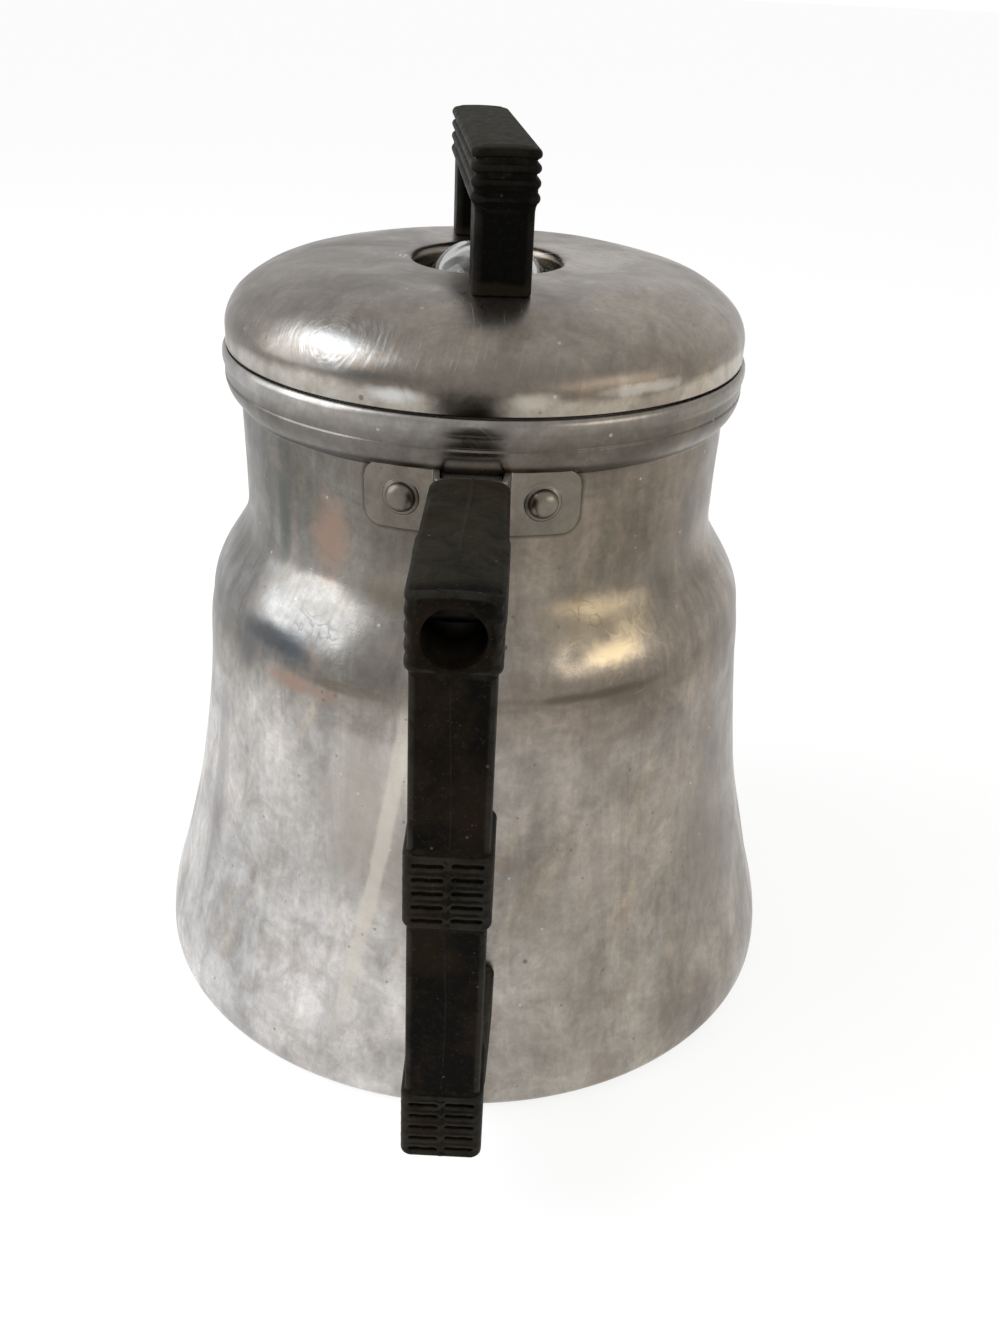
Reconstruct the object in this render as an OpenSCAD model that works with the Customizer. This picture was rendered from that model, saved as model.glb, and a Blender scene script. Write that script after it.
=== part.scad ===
// Stovetop coffee percolator: bell-shaped aluminium pot, moulded pot handle, lift-off lid with a
// bridge handle over a glass dome, and the pump, basket and spreader inside.
// Millimetres, Z up. The origin is on the pot's axis at its flat base; the pot handle is at -Y
// and the spout at +Y.

/* [Pot] */
// Radius of the pot just above its bottom corner
base_r = 82.5; // [76:0.5:90]
// Radius of the corner between the base and the wall
base_corner_r = 3; // [1.5:0.5:5]
// Height at which the convex foot turns into the concave flare
foot_z = 24; // [18:1:30]
// Radius at that height
foot_r = 78; // [74:0.5:80]
// Height of the waist, below the shoulder
waist_z = 90; // [82:1:96]
// Radius of the waist
waist_r = 66.9; // [63:0.5:70]
// Height at which the shoulder turns into the neck's hollow
shoulder_z = 114.5; // [112:0.5:117]
// How far the shoulder stands out from the neck there
shoulder_out = 4.1; // [3:0.1:5.5]
// Height of the neck's hollow, from there to the straight neck
hollow_h = 11.5; // [9.5:0.5:14]
// Radius of the neck at its lower end
neck_r = 56.1; // [54.5:0.1:57]
// How much wider the neck is at its upper end
neck_taper = 0.4; // [0:0.1:1]
// Height of the neck, up to the bend of the collar
neck_h = 23; // [21:0.5:27]
// How far the collar stands out from the neck
collar_out = 3.9; // [3:0.1:5]
// Height of the collar, bend and rim included
collar_h = 12.6; // [11.5:0.2:15]
// Thickness of the pot's sheet
pot_wall = 1.5; // [1:0.1:2]

/* [Spout] */
// Reach of the spout's lip from the pot's axis
spout_reach = 96; // [90:1:104]
// Height of the middle of the spout's lip
spout_z = 153; // [148:1:158]
// Height of the spout's lower root on the pot
spout_root_z = 94; // [90:1:100]
// Width of the spout at its root
spout_root_w = 40; // [34:1:44]
// Width of the spout at its lip
spout_lip_w = 17; // [14:1:22]
// Length of the spout's lip, front to back
spout_lip_h = 15; // [12:1:20]
// Thickness of the spout's sheet
spout_wall = 1.3; // [1:0.1:1.8]
// Diameter of a strainer hole in the pot's wall behind the spout
strainer_d = 3; // [2:0.2:4]

/* [Handle bracket] */
// Thickness of the strap
strap_t = 1.2; // [0.8:0.1:1.6]
// Half width of the strap, as an angle about the pot's axis
strap_half_angle = 23; // [21:0.5:26]
// Height of the strap
strap_h = 14; // [12:0.2:15]
// Depth of the strap's middle below the collar's bend
strap_drop = 5.5; // [4.5:0.1:9]
// Width of the raised box in the middle of the strap
box_w = 14.6; // [13:0.2:16]
// How far the box stands out from the neck
box_depth = 7.2; // [6.6:0.2:9]
// Angle of each rivet from the middle of the strap
rivet_angle = 14.6; // [13.5:0.1:16]
// Diameter of a rivet's head
rivet_head_d = 6.4; // [5:0.1:7]
// Diameter of a rivet's shank
rivet_d = 3.2; // [2.4:0.1:4]

/* [Pot handle] */
// Distance of the handle's front face from the pot's axis
handle_reach = 117.7; // [112:0.5:126]
// Width of the grip
grip_w = 14.9; // [13:0.1:17]
// Depth of the grip, front to back
grip_d = 15; // [13:0.5:18]
// Radius of the grip's edges
grip_edge_r = 2.2; // [1:0.1:3]
// How far the ribs stand out from the grip
rib_out = 0.85; // [0.5:0.05:1.2]
// Distance from one rib to the next
rib_pitch = 3.1; // [2.6:0.1:3.4]
// Number of ribs in a band
rib_count = 5; // [3:1:6]
// Width of the groove between two ribs
rib_groove = 0.8; // [0.5:0.1:1.2]
// Height of the upper arm's top above the handle screw
arm_top_h = 8.3; // [7.6:0.1:10]
// Height of the upper arm's section
arm_h = 14; // [12.5:0.5:16]
// Width of the upper arm
arm_w = 15.8; // [14:0.2:18]
// Height of the middle of the grip's rib band
mid_band_z = 92; // [80:1:104]
// Height of the handle's lower end
handle_low_z = 24; // [20:0.5:28]
// Height of the lower arm's top at the pot
heel_top_z = 38; // [34:0.5:42]
// Width of the lower arm at the pot
heel_w = 18.9; // [17:0.1:22]
// Gap between the lower arm and the pot's wall
heel_gap = 0.3; // [0.1:0.1:0.8]
// Diameter of the hole for the screw's head
counterbore_d = 11.1; // [10:0.1:12]
// Depth of that hole
counterbore_depth = 12; // [8:0.5:16]
// Diameter of the handle screw
screw_d = 5; // [4:0.5:6]

/* [Lid] */
// How far the lid's edge stands back from the collar's outside
lid_setback = 0.9; // [0.4:0.1:1.2]
// Height of the lid above the pot's rim
lid_h = 18.9; // [16:0.5:24]
// Radius at which the lid's shoulder starts to fall
lid_crown_r = 33; // [30:1:38]
// Height of the straight band at the lid's edge
lid_band_h = 4; // [3:0.5:6]
// Thickness of the lid's sheet
lid_wall = 1.1; // [0.8:0.1:1.4]
// Radius of the hole for the glass dome
lid_hole_r = 16.7; // [16:0.1:18]
// Gap between the lid and the pot's rim
lid_gap = 0.3; // [0.2:0.05:0.6]
// Depth to which the seat ring reaches into the neck, below the rim
skirt_depth = 14.6; // [13:0.2:17]
// Turn of the lid about the pot's axis, from the pot handle's plane
lid_turn = 6.3; // [-15:0.1:15]

/* [Glass dome] */
// Radius of the glass above the lid
glass_r = 14.3; // [12:0.1:15]
// Height of the glass above the lid's top
glass_proud = 4.6; // [3:0.1:7]
// Thickness of the glass
glass_wall = 2.4; // [1.8:0.1:3]

/* [Lid handle] */
// Length of the bridge, over its ribs
bridge_l = 77; // [68:1:84]
// Width of a post
post_w = 12; // [10:0.2:14]
// Thickness of a post along the bridge
post_t = 13; // [11:0.5:16]
// Height of the bridge's top above the lid
bridge_h = 28.4; // [24:0.2:34]
// Distance from one rib to the next on the bridge
bridge_rib_pitch = 2.85; // [2.4:0.05:3.2]
// Number of ribs on the bridge
bridge_rib_count = 4; // [3:1:5]
// Diameter of a lid handle screw
lid_screw_d = 4; // [3:0.5:5]

/* [Pump, basket and spreader] */
// Room between the basket's wall and the neck
basket_room = 9.6; // [7:0.2:14]
// Height of the basket
basket_h = 49; // [40:1:54]
// Depth of the basket's rim below the pot's rim
basket_drop = 16.6; // [16:0.2:22]
// Height of the sleeve in the basket
sleeve_h = 40; // [30:1:48]
// Thickness of the basket's and the spreader's sheet
basket_wall = 0.9; // [0.7:0.1:1.2]
// Diameter of a hole in the basket and the spreader
sieve_d = 2.4; // [1.6:0.1:2.8]
// Radius of the pump tube
tube_r = 4.5; // [4:0.1:5.5]
// Thickness of the pump tube
tube_wall = 0.8; // [0.6:0.1:1]
// Depth of the pump tube's top below the lid's top
tube_drop = 12.5; // [11:0.5:16]
// Radius of the pump's foot
pump_r = 34; // [28:1:40]
// Height of the pump's foot
pump_h = 21; // [20:0.5:24]
// Thickness of the pump foot's sheet
pump_wall = 1; // [0.8:0.1:1.3]
// Lift of the valve disc
valve_lift = 1.5; // [1:0.1:1.8]

/* [Hidden] */
$fn = 96;

aluminium = [0.72, 0.71, 0.69];
worn_aluminium = [0.66, 0.64, 0.62];
steel = [0.55, 0.55, 0.56];
bakelite = [0.05, 0.045, 0.04];
clear_glass = [0.85, 0.9, 0.92, 0.5];

eps = 0.01;
cut = 1; // how far a cutting shape runs past a face
seat_gap = 0.3; // between bodies that rest on each other
slide_gap = 0.05; // radial gap of a shank in its hole
curve_n = 8; // steps along a curve

// A point on the cubic curve a-b-c-d
function bezier(a, b, c, d, t) =
    pow(1 - t, 3) * a + 3 * t * pow(1 - t, 2) * b + 3 * t * t * (1 - t) * c + pow(t, 3) * d;
function curve(a, b, c, d, n = curve_n) = [for (i = [0:n]) bezier(a, b, c, d, i / n)];
// Points on an ellipse's arc about c, with half axes r = [x, y]
function arc(c, r, a0, a1, n = curve_n) =
    [for (i = [0:n]) let (a = a0 + (a1 - a0) * i / n) c + [r[0] * cos(a), r[1] * sin(a)]];
// The list without its first point
function rest(p) = [for (i = [1:len(p) - 1]) p[i]];
function reversed(p) = [for (i = [len(p) - 1:-1:0]) p[i]];
function unit(v) = v / norm(v);
// The path moved by d to its left
function moved_left(p, d) = [for (i = [0:len(p) - 1])
    let (t = unit(p[min(i + 1, len(p) - 1)] - p[max(i - 1, 0)])) p[i] + d * [-t[1], t[0]]];

// ---- pot ----
crease_rise = 12;
crease_in = 1.3;
crease_z = waist_z + crease_rise; // the soft crease under the shoulder
crease_r = waist_r - crease_in;
shoulder_r = neck_r + shoulder_out;
neck_z = shoulder_z + hollow_h; // where the straight neck starts
neck_top_r = neck_r + neck_taper;
collar_z = neck_z + neck_h; // where the neck bends out into the collar
collar_r = neck_top_r + collar_out;
rim_z = collar_z + collar_h;
neck_inner_r = neck_r - pot_wall;
// The wall's outer line, from the base's corner up to the collar
flare_slope = [-0.27, 1];
neck_slope = [-0.66, 1];
// How far each curve runs on before it turns
base_run = 8;
foot_run_down = 6;
foot_run_up = 26;
waist_run = 24;
waist_lean = 1.8;
crease_run = 5;
crease_lean = 1;
shoulder_run_down = 4;
shoulder_run_up = 3;
neck_run = 6;
collar_run = 3;
collar_bend_h = 6; // height of the bend from the neck out into the collar
collar_lean = 0.4;
collar_step = 1.2; // from the bend up to the collar's straight band
wall_line = concat(
    curve([base_r, base_corner_r], [base_r, base_corner_r + base_run],
        [foot_r, foot_z] - foot_run_down * flare_slope, [foot_r, foot_z]),
    rest(curve([foot_r, foot_z], [foot_r, foot_z] + foot_run_up * flare_slope,
        [waist_r + waist_lean, waist_z - waist_run], [waist_r, waist_z])),
    rest(curve([crease_r, crease_z], [crease_r - crease_lean, crease_z + crease_run],
        [shoulder_r, shoulder_z] - shoulder_run_down * neck_slope, [shoulder_r, shoulder_z])),
    rest(curve([shoulder_r, shoulder_z], [shoulder_r, shoulder_z] + shoulder_run_up * neck_slope,
        [neck_r, neck_z - neck_run], [neck_r, neck_z])),
    curve([neck_top_r, collar_z], [neck_top_r + 2.5 * collar_lean, collar_z + collar_run / 5],
        [collar_r - 1.5 * collar_lean, collar_z + collar_run],
        [collar_r - collar_lean, collar_z + collar_bend_h], 6),
    [[collar_r, collar_z + collar_bend_h + collar_step]]);
corner_line = arc([base_r - base_corner_r, base_corner_r], [base_corner_r, base_corner_r],
    -90, 0, 6);
rim_round_r = pot_wall / 2;
rim_line = arc([collar_r - rim_round_r, rim_z - rim_round_r], [rim_round_r, rim_round_r],
    0, 180, 8);
groove_depth = 0.35; // fine groove turned into the collar, above its bend
groove_half = 0.4; // half of its height
groove_z = collar_z + collar_bend_h + 1.5 * groove_half;
collar_groove = [[collar_r - collar_lean, groove_z - groove_half],
    [collar_r - collar_lean - groove_depth, groove_z],
    [collar_r - collar_lean / 4, groove_z + groove_half]];
pot_outer = concat([[0, 0]], corner_line,
    [for (i = [1:len(wall_line) - 2]) wall_line[i]], collar_groove, [wall_line[len(wall_line) - 1]]);
pot_inner = concat([[0, pot_wall]], moved_left(concat(corner_line, rest(wall_line)), pot_wall));

// Solid of the pot's outside, grown by g, up to the rim
module pot_mass(g = 0) {
    rotate_extrude() polygon(concat([[0, 0]], moved_left(concat(corner_line, rest(wall_line)), -g),
        [[collar_r + g, rim_z], [0, rim_z]]));
}

strainer_step = [4.6, 5]; // across and up
strainer_n = [7, 6, 3]; // holes in each row, from the lowest
strainer_low_z = neck_z + 3;
// The pot is one spun shell, kept as four nodes that meet edge to edge
pot_reach = base_r + foot_r; // further out than the pot at any height
module pot_ring(z0, z1) {
    rotate_extrude() intersection() {
        polygon(concat(pot_outer, rim_line, reversed(pot_inner)));
        translate([0, z0]) square([pot_reach, z1 - z0]);
    }
}
module pot_base() {
    color(aluminium) pot_ring(0, base_corner_r);
}
module pot_flare() {
    color(aluminium) pot_ring(base_corner_r, crease_z);
}
module pot_shoulder() {
    color(aluminium) pot_ring(crease_z, neck_z);
}
module pot_neck() {
    color(aluminium) difference() {
        pot_ring(neck_z, rim_z);
        for (j = [0:len(strainer_n) - 1], i = [0:strainer_n[j] - 1])
            translate([(i - (strainer_n[j] - 1) / 2) * strainer_step[0], 0,
                strainer_low_z + j * strainer_step[1]])
                rotate([-90, 0, 0]) cylinder(d = strainer_d, h = base_r);
        rivets_at() translate([0, 0, -cut]) cylinder(d = rivet_d + 2 * slide_gap, h = base_r);
    }
}

// ---- spout ----
// The spout's upper and lower outline in the pot's middle plane, as [y, z]
lip_half = spout_lip_h / 2 * [-0.84, 0.54];
spout_sink = [9, 6]; // how far inside the neck the upper and lower outlines start
spout_top_rise = 16; // from the neck's foot up to the upper outline's start
spout_top_lean = [17, -3]; // how each outline leaves the neck
spout_low_lean = [21, 3];
spout_top_run = [-18, -10]; // how each outline comes up to the lip
spout_low_run = [-8, -32];
spout_top_start = [neck_r - spout_sink[0], neck_z + spout_top_rise];
spout_low_start = [neck_r - spout_sink[1], spout_root_z];
spout_lip_at = [spout_reach, spout_z];
spout_top = [spout_top_start, spout_top_start + spout_top_lean, spout_lip_at + spout_top_run,
    spout_lip_at + lip_half];
spout_low = [spout_low_start, spout_low_start + spout_low_lean, spout_lip_at + spout_low_run,
    spout_lip_at - lip_half];
spout_n = 14; // rings along the spout
spout_sides = 32;
function on_line(l, t) = bezier(l[0], l[1], l[2], l[3], t);
// Section of the spout at t, as a ring of points, grown by g
function spout_ring(t, g) =
    let (a = on_line(spout_top, t), b = on_line(spout_low, t), c = (a + b) / 2,
        up = unit(a - b), h = norm(a - b) / 2 + g, k = pow(1 - min(t, 1), 1.6),
        w = (spout_lip_w + (spout_root_w - spout_lip_w) * k) / 2 + g)
    [for (j = [0:spout_sides - 1]) let (v = 360 * j / spout_sides)
        [w * cos(v), c[0] + up[0] * h * sin(v), c[1] + up[1] * h * sin(v)]];
// Solid spout, grown by g, from t0 to t1
module spout_loft(g, t0, t1) {
    rings = [for (i = [0:spout_n]) spout_ring(t0 + (t1 - t0) * i / spout_n, g)];
    m = spout_sides;
    last = spout_n * m;
    polyhedron(points = [for (r = rings) each r], faces = concat(
        [for (j = [1:m - 2]) [0, j + 1, j]],
        [for (j = [1:m - 2]) [last, last + j, last + j + 1]],
        [for (i = [0:spout_n - 1], j = [0:m - 1]) let (k = (j + 1) % m)
            [i * m + j, (i + 1) * m + k, (i + 1) * m + j]],
        [for (i = [0:spout_n - 1], j = [0:m - 1]) let (k = (j + 1) % m)
            [i * m + j, i * m + k, (i + 1) * m + k]]));
}
module spout() {
    color(aluminium) difference() {
        spout_loft(0, 0, 1);
        spout_loft(-spout_wall, -0.02, 1.04);
        pot_mass();
    }
}

// ---- handle bracket ----
strap_z = collar_z - strap_drop; // middle of the strap, and the handle screw's height
// Outer radius of the neck at height z
function neck_at(z) = neck_r + neck_taper * (z - neck_z) / neck_h;
strap_low_z = strap_z - strap_h / 2;
strap_top_z = strap_z + strap_h / 2;
strap_half_w = (neck_top_r + strap_t) * sin(strap_half_angle);
strap_corner_r = 4;
box_y = -(neck_top_r + box_depth); // the box's front face
box_room_w = box_w - 2 * strap_t;
// Places its children on the strap's two rivets, with +Z pointing out of the pot
module rivets_at() {
    for (s = [-1, 1]) rotate([0, 0, s * rivet_angle])
        translate([0, -(neck_at(strap_z) - pot_wall), strap_z]) rotate([90, 0, 0]) children();
}
// Flat outline with round corners, centred
module round_rect(w, d, r) {
    square([w - 2 * r, d], center = true);
    square([w, d - 2 * r], center = true);
    for (x = [-1, 1], y = [-1, 1]) translate([x * (w / 2 - r), y * (d / 2 - r)]) circle(r = r);
}
module handle_bracket() {
    color(worn_aluminium) difference() {
        union() {
            intersection() {
                rotate_extrude() polygon([
                    [neck_at(strap_low_z), strap_low_z], [neck_at(strap_low_z) + strap_t, strap_low_z],
                    [neck_at(strap_top_z) + strap_t, strap_top_z], [neck_at(strap_top_z), strap_top_z]]);
                translate([0, 0, strap_z]) rotate([90, 0, 0]) linear_extrude(collar_r + cut)
                    round_rect(2 * strap_half_w, strap_h, strap_corner_r);
            }
            box_shell();
        }
        // the room inside the box, open above and below
        translate([-box_room_w / 2, box_y + strap_t, strap_low_z - cut])
            cube([box_room_w, box_depth + neck_r / 2, strap_h + 2 * cut]);
        pot_mass();
        rivets_at() cylinder(d = rivet_d + 2 * slide_gap, h = box_depth);
        handle_screw_axis() cylinder(d = screw_d + 2 * slide_gap, h = 3 * strap_t, center = true);
    }
}
module box_shell() {
    translate([-box_w / 2, box_y, strap_low_z]) cube([box_w, box_depth + neck_r / 2, strap_h]);
}
// Places its children on the handle screw's axis at the box's front face, +Z towards the handle
module handle_screw_axis() {
    translate([0, box_y, strap_z]) rotate([90, 0, 0]) children();
}
rivet_grip = pot_wall + strap_t;
module bracket_rivets() {
    color(worn_aluminium) rivets_at() {
        translate([0, 0, -1.1]) cylinder(d = rivet_head_d - 1.4, h = 1);
        translate([0, 0, -0.2]) cylinder(d = rivet_d, h = rivet_grip + 0.5);
        translate([0, 0, rivet_grip + eps]) rotate_extrude()
            polygon(concat([[0, 0]], arc([0, 0.35], [rivet_head_d / 2, 1.75], -10, 90, 10)));
    }
}

// ---- pot handle ----
arm_top_z = strap_z + arm_top_h;
grip_y = -(handle_reach - rib_out - grip_d / 2); // middle of the grip
grip_back_y = grip_y + grip_d / 2;
band_h = rib_pitch * rib_count - rib_groove;
// Band of ribs round the grip, with its lower edge at z
module rib_band(z) {
    for (i = [0:rib_count - 1]) translate([0, grip_y, z + i * rib_pitch])
        linear_extrude(rib_pitch - rib_groove)
            round_rect(grip_w + 2 * rib_out, grip_d + 2 * rib_out, grip_edge_r);
}
heel_root_r = base_r - 10; // the lower arm's end, trimmed by the pot's wall
heel_round_r = 3;
heel_rise = 19; // height of its curve up the grip
heel_line = concat(
    arc([-(heel_root_r + heel_round_r), heel_top_z - heel_round_r], [heel_round_r, heel_round_r],
        0, 90, 5),
    rest(curve([-(heel_root_r + heel_round_r), heel_top_z], [grip_back_y + 12, heel_top_z - 1],
        [grip_back_y + 1, heel_top_z + 6], [grip_y, heel_top_z + heel_rise])));
// The lower arm, from the grip to the pot's wall
module heel() {
    intersection() {
        rotate([90, 0, 90]) linear_extrude(heel_w + 2, center = true)
            polygon(concat(heel_line, [[grip_y, handle_low_z], [-heel_root_r, handle_low_z]]));
        translate([0, 0, handle_low_z - cut]) linear_extrude(arm_top_z) polygon([
            [-heel_w / 2, cut - heel_root_r], [heel_w / 2, cut - heel_root_r],
            [grip_w / 2 + rib_out, grip_y - cut], [-grip_w / 2 - rib_out, grip_y - cut]]);
    }
}
arm_fillet_r = 10;
module pot_handle() {
    color(bakelite) difference() {
        union() {
            translate([0, grip_y, handle_low_z]) linear_extrude(arm_top_z - handle_low_z - 2)
                round_rect(grip_w, grip_d, grip_edge_r);
            translate([0, box_y, arm_top_z - arm_h / 2]) rotate([90, 0, 0])
                linear_extrude(-grip_y + box_y + grip_d / 2 - rib_out)
                    round_rect(arm_w, arm_h, grip_edge_r);
            translate([-grip_w / 2, grip_back_y, arm_top_z - arm_h]) rotate([90, 0, 90])
                linear_extrude(grip_w) difference() {
                    translate([-1, -arm_fillet_r]) square([arm_fillet_r + 1, arm_fillet_r + 1]);
                    translate([arm_fillet_r, -arm_fillet_r]) circle(r = arm_fillet_r);
                }
            rib_band(arm_top_z - band_h);
            rib_band(mid_band_z - band_h / 2);
            rib_band(handle_low_z);
            heel();
        }
        translate([0, -handle_reach - cut, strap_z]) rotate([-90, 0, 0])
            cylinder(d = counterbore_d, h = counterbore_depth + cut);
        translate([0, -handle_reach - cut, strap_z]) rotate([-90, 0, 0])
            cylinder(d = screw_d + 2 * slide_gap, h = handle_reach);
        pot_mass(heel_gap);
    }
}
screw_head_h = 3.2;
screw_head_d = 9;
screw_slot = [1.2, 1.4]; // width and depth
washer_t = 1;
nut_t = 3.6;
nut_w = box_room_w - 0.4; // held between the box's sides
screw_seat_y = -(handle_reach - counterbore_depth); // the counterbore's floor
screw_shank_l = -screw_seat_y + washer_t + box_y + strap_t + nut_t + 1;
module handle_screw() {
    color(steel) translate([0, screw_seat_y - washer_t, strap_z]) difference() {
        union() {
            rotate([90, 0, 0]) rotate_extrude() polygon(concat([[0, 0], [screw_head_d / 2, 0]],
                arc([0, screw_head_h / 2], [screw_head_d / 2, screw_head_h / 2], 0, 90, 8)));
            translate([0, -eps, 0]) rotate([-90, 0, 0])
                cylinder(d = screw_d, h = screw_shank_l + eps);
        }
        translate([-screw_head_d, -screw_head_h - cut, -screw_slot[0] / 2])
            cube([2 * screw_head_d, screw_slot[1] + cut, screw_slot[0]]);
    }
}
module handle_washer() {
    color(steel) translate([0, screw_seat_y, strap_z]) rotate([90, 0, 0]) difference() {
        cylinder(d = counterbore_d - 0.8, h = washer_t);
        translate([0, 0, -cut]) cylinder(d = screw_d + 2 * slide_gap, h = washer_t + 2 * cut);
    }
}
module handle_nut() {
    color(steel) translate([0, box_y + strap_t, strap_z]) rotate([-90, 0, 0]) difference() {
        translate([-nut_w / 2, -nut_w / 2 + 1, 0]) cube([nut_w, nut_w - 2, nut_t]);
        translate([0, 0, -cut]) cylinder(d = screw_d + 2 * slide_gap, h = nut_t + 2 * cut);
    }
}

// ---- lid ----
lid_r = collar_r - lid_setback; // outside of the lid
lid_top_z = rim_z + lid_h;
lid_low_z = rim_z + lid_gap;
lid_shoulder_z = lid_low_z + lid_band_h;
lid_lip_r = 2; // radius of the turned-down edge of the hole
lid_lip_h = 4.6;
lid_line = concat([[lid_r, lid_low_z]],
    arc([lid_crown_r, lid_shoulder_z], [lid_r - lid_crown_r, lid_top_z - lid_shoulder_z], 0, 90, 20),
    arc([lid_hole_r + lid_lip_r, lid_top_z - lid_lip_r], [lid_lip_r, lid_lip_r], 90, 180, 6),
    [[lid_hole_r, lid_top_z - lid_lip_h]]);
// Solid of the lid's outside
module lid_mass() {
    rotate_extrude() polygon(concat([[0, lid_low_z]],
        [for (p = lid_line) if (p[0] > lid_crown_r) p], [[lid_crown_r, lid_top_z], [0, lid_top_z]]));
}
post_y = bridge_l / 2 - 0.5 - post_t / 2;
// Places its children on the two lid handle screws, at the lid's top
module lid_screws_at() {
    rotate([0, 0, lid_turn]) for (s = [-1, 1]) translate([0, s * post_y, lid_top_z]) children();
}
module lid_shell() {
    color(aluminium) difference() {
        rotate_extrude() polygon(concat(lid_line, reversed(moved_left(lid_line, lid_wall))));
        lid_screws_at() cylinder(d = lid_screw_d + 2 * slide_gap, h = 10, center = true);
    }
}
ring_r = lid_r - lid_wall; // the seat ring's outside, pressed into the lid's band
ring_low_r = neck_inner_r - 0.5;
ring_line = [[ring_r, lid_shoulder_z], [ring_r, rim_z - 3.4], [ring_low_r, collar_z + 7],
    [ring_low_r, rim_z - skirt_depth]];
module lid_seat_ring() {
    color(worn_aluminium) rotate_extrude()
        polygon(concat(ring_line, reversed([for (p = ring_line) p - [lid_wall, 0]])));
}

// ---- glass dome ----
glass_top_z = lid_top_z + glass_proud;
glass_round_r = 4.5;
flange_r = lid_hole_r + 1.8;
flange_z = lid_top_z - lid_lip_h; // top of the flange, under the hole's lip
flange_t = 2.4;
glass_low_z = flange_z - flange_t - 1.5;
module glass_dome() {
    color(clear_glass) rotate_extrude() polygon(concat(
        [[0, glass_top_z]],
        arc([0, glass_top_z - 1], [glass_r - glass_round_r, 1], 90, 0, 6),
        arc([glass_r - glass_round_r, glass_top_z - 1 - glass_round_r],
            [glass_round_r, glass_round_r], 80, 0, 8),
        [[glass_r, flange_z], [flange_r, flange_z], [flange_r, flange_z - flange_t],
            [glass_r, flange_z - flange_t], [glass_r, glass_low_z],
            [glass_r - glass_wall, glass_low_z]],
        arc([glass_r - glass_round_r, glass_top_z - 1 - glass_round_r],
            [glass_round_r - glass_wall, glass_round_r - glass_wall], 0, 80, 5),
        [[0, glass_top_z - glass_wall]]));
}
retainer_t = 0.9;
retainer_r = flange_r + 0.2; // the cup's inside, round the flange
module dome_retainer() {
    lid_under = lid_top_z - lid_wall;
    low = flange_z - flange_t;
    color(worn_aluminium) rotate_extrude() polygon([
        [retainer_r, lid_under - retainer_t], [retainer_r, low], [glass_r + 0.2, low],
        [glass_r + 0.2, low - retainer_t], [retainer_r + retainer_t, low - retainer_t],
        [retainer_r + retainer_t, lid_under - retainer_t], [retainer_r + 4.5, lid_under - retainer_t],
        [retainer_r + 4.5, lid_under], [retainer_r, lid_under]]);
}

// ---- lid handle ----
bridge_top_z = lid_top_z + bridge_h;
bar_h = bridge_rib_pitch * bridge_rib_count;
bridge_edge_r = 1.8;
bridge_rib_out = 0.7;
lid_screw_l = 13; // the screw's length above the lid
module lid_handle() {
    color(bakelite) difference() {
        rotate([0, 0, lid_turn]) {
            for (s = [-1, 1]) translate([0, s * post_y, lid_top_z - 2])
                linear_extrude(bridge_h - bar_h / 2 + 2) round_rect(post_w, post_t, bridge_edge_r);
            translate([0, 0, bridge_top_z - bar_h]) linear_extrude(bar_h - rib_groove)
                round_rect(post_w, bridge_l - 1, bridge_edge_r);
            for (i = [0:bridge_rib_count - 1])
                translate([0, 0, bridge_top_z - (i + 1) * bridge_rib_pitch + rib_groove])
                    linear_extrude(bridge_rib_pitch - rib_groove)
                        round_rect(post_w + 2 * bridge_rib_out, bridge_l, bridge_edge_r);
        }
        lid_mass();
        lid_screws_at() translate([0, 0, -cut])
            cylinder(d = lid_screw_d + 2 * slide_gap, h = lid_screw_l + cut);
    }
}
lid_washer_t = 0.8;
lid_washer_r = 4.5;
// How far the lid's line has fallen at the washer's outer edge
lid_fall = (lid_top_z - lid_shoulder_z)
    * (1 - sqrt(1 - pow(max(0, post_y + lid_washer_r - lid_crown_r) / (lid_r - lid_crown_r), 2)));
washer_top = lid_wall + lid_fall + slide_gap; // depth of the washer's top below the lid's top
lid_head_r = 4;
lid_head_h = 2.4;
slot_w = 1; // screwdriver's slot
slot_depth = 1;
module lid_handle_screws() {
    color(steel) lid_screws_at() translate([0, 0, -washer_top - lid_washer_t]) {
        difference() {
            rotate([180, 0, 0]) rotate_extrude() polygon(concat([[0, 0], [lid_head_r, 0]],
                arc([0, lid_head_h / 3], [lid_head_r, 2 * lid_head_h / 3], 0, 90, 8)));
            translate([-lid_head_r - cut, -slot_w / 2, -lid_head_h - cut])
                cube([2 * (lid_head_r + cut), slot_w, slot_depth + cut]);
        }
        translate([0, 0, -eps])
            cylinder(d = lid_screw_d, h = washer_top + lid_washer_t + lid_screw_l - cut);
    }
}
module lid_handle_washers() {
    color(steel) lid_screws_at() translate([0, 0, -washer_top - lid_washer_t]) difference() {
        cylinder(r = lid_washer_r, h = lid_washer_t);
        translate([0, 0, -cut])
            cylinder(d = lid_screw_d + 2 * slide_gap, h = lid_washer_t + 2 * cut);
    }
}

// ---- basket, spreader and pump ----
basket_r = neck_inner_r - basket_room; // outside of the basket's wall
basket_rim_z = rim_z - basket_drop;
basket_z = basket_rim_z - basket_h; // underside of the basket
basket_corner_r = 4;
tube_top_z = lid_top_z - tube_drop;
sleeve_wall = 1.6;
sleeve_flange = 1.6; // how far the sleeve's flange stands out
flange_h = 1;
sleeve_gap = 0.3; // between the sleeve and the pump tube
sleeve_r = tube_r + sleeve_gap + sleeve_wall; // outside of the basket's sleeve
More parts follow.
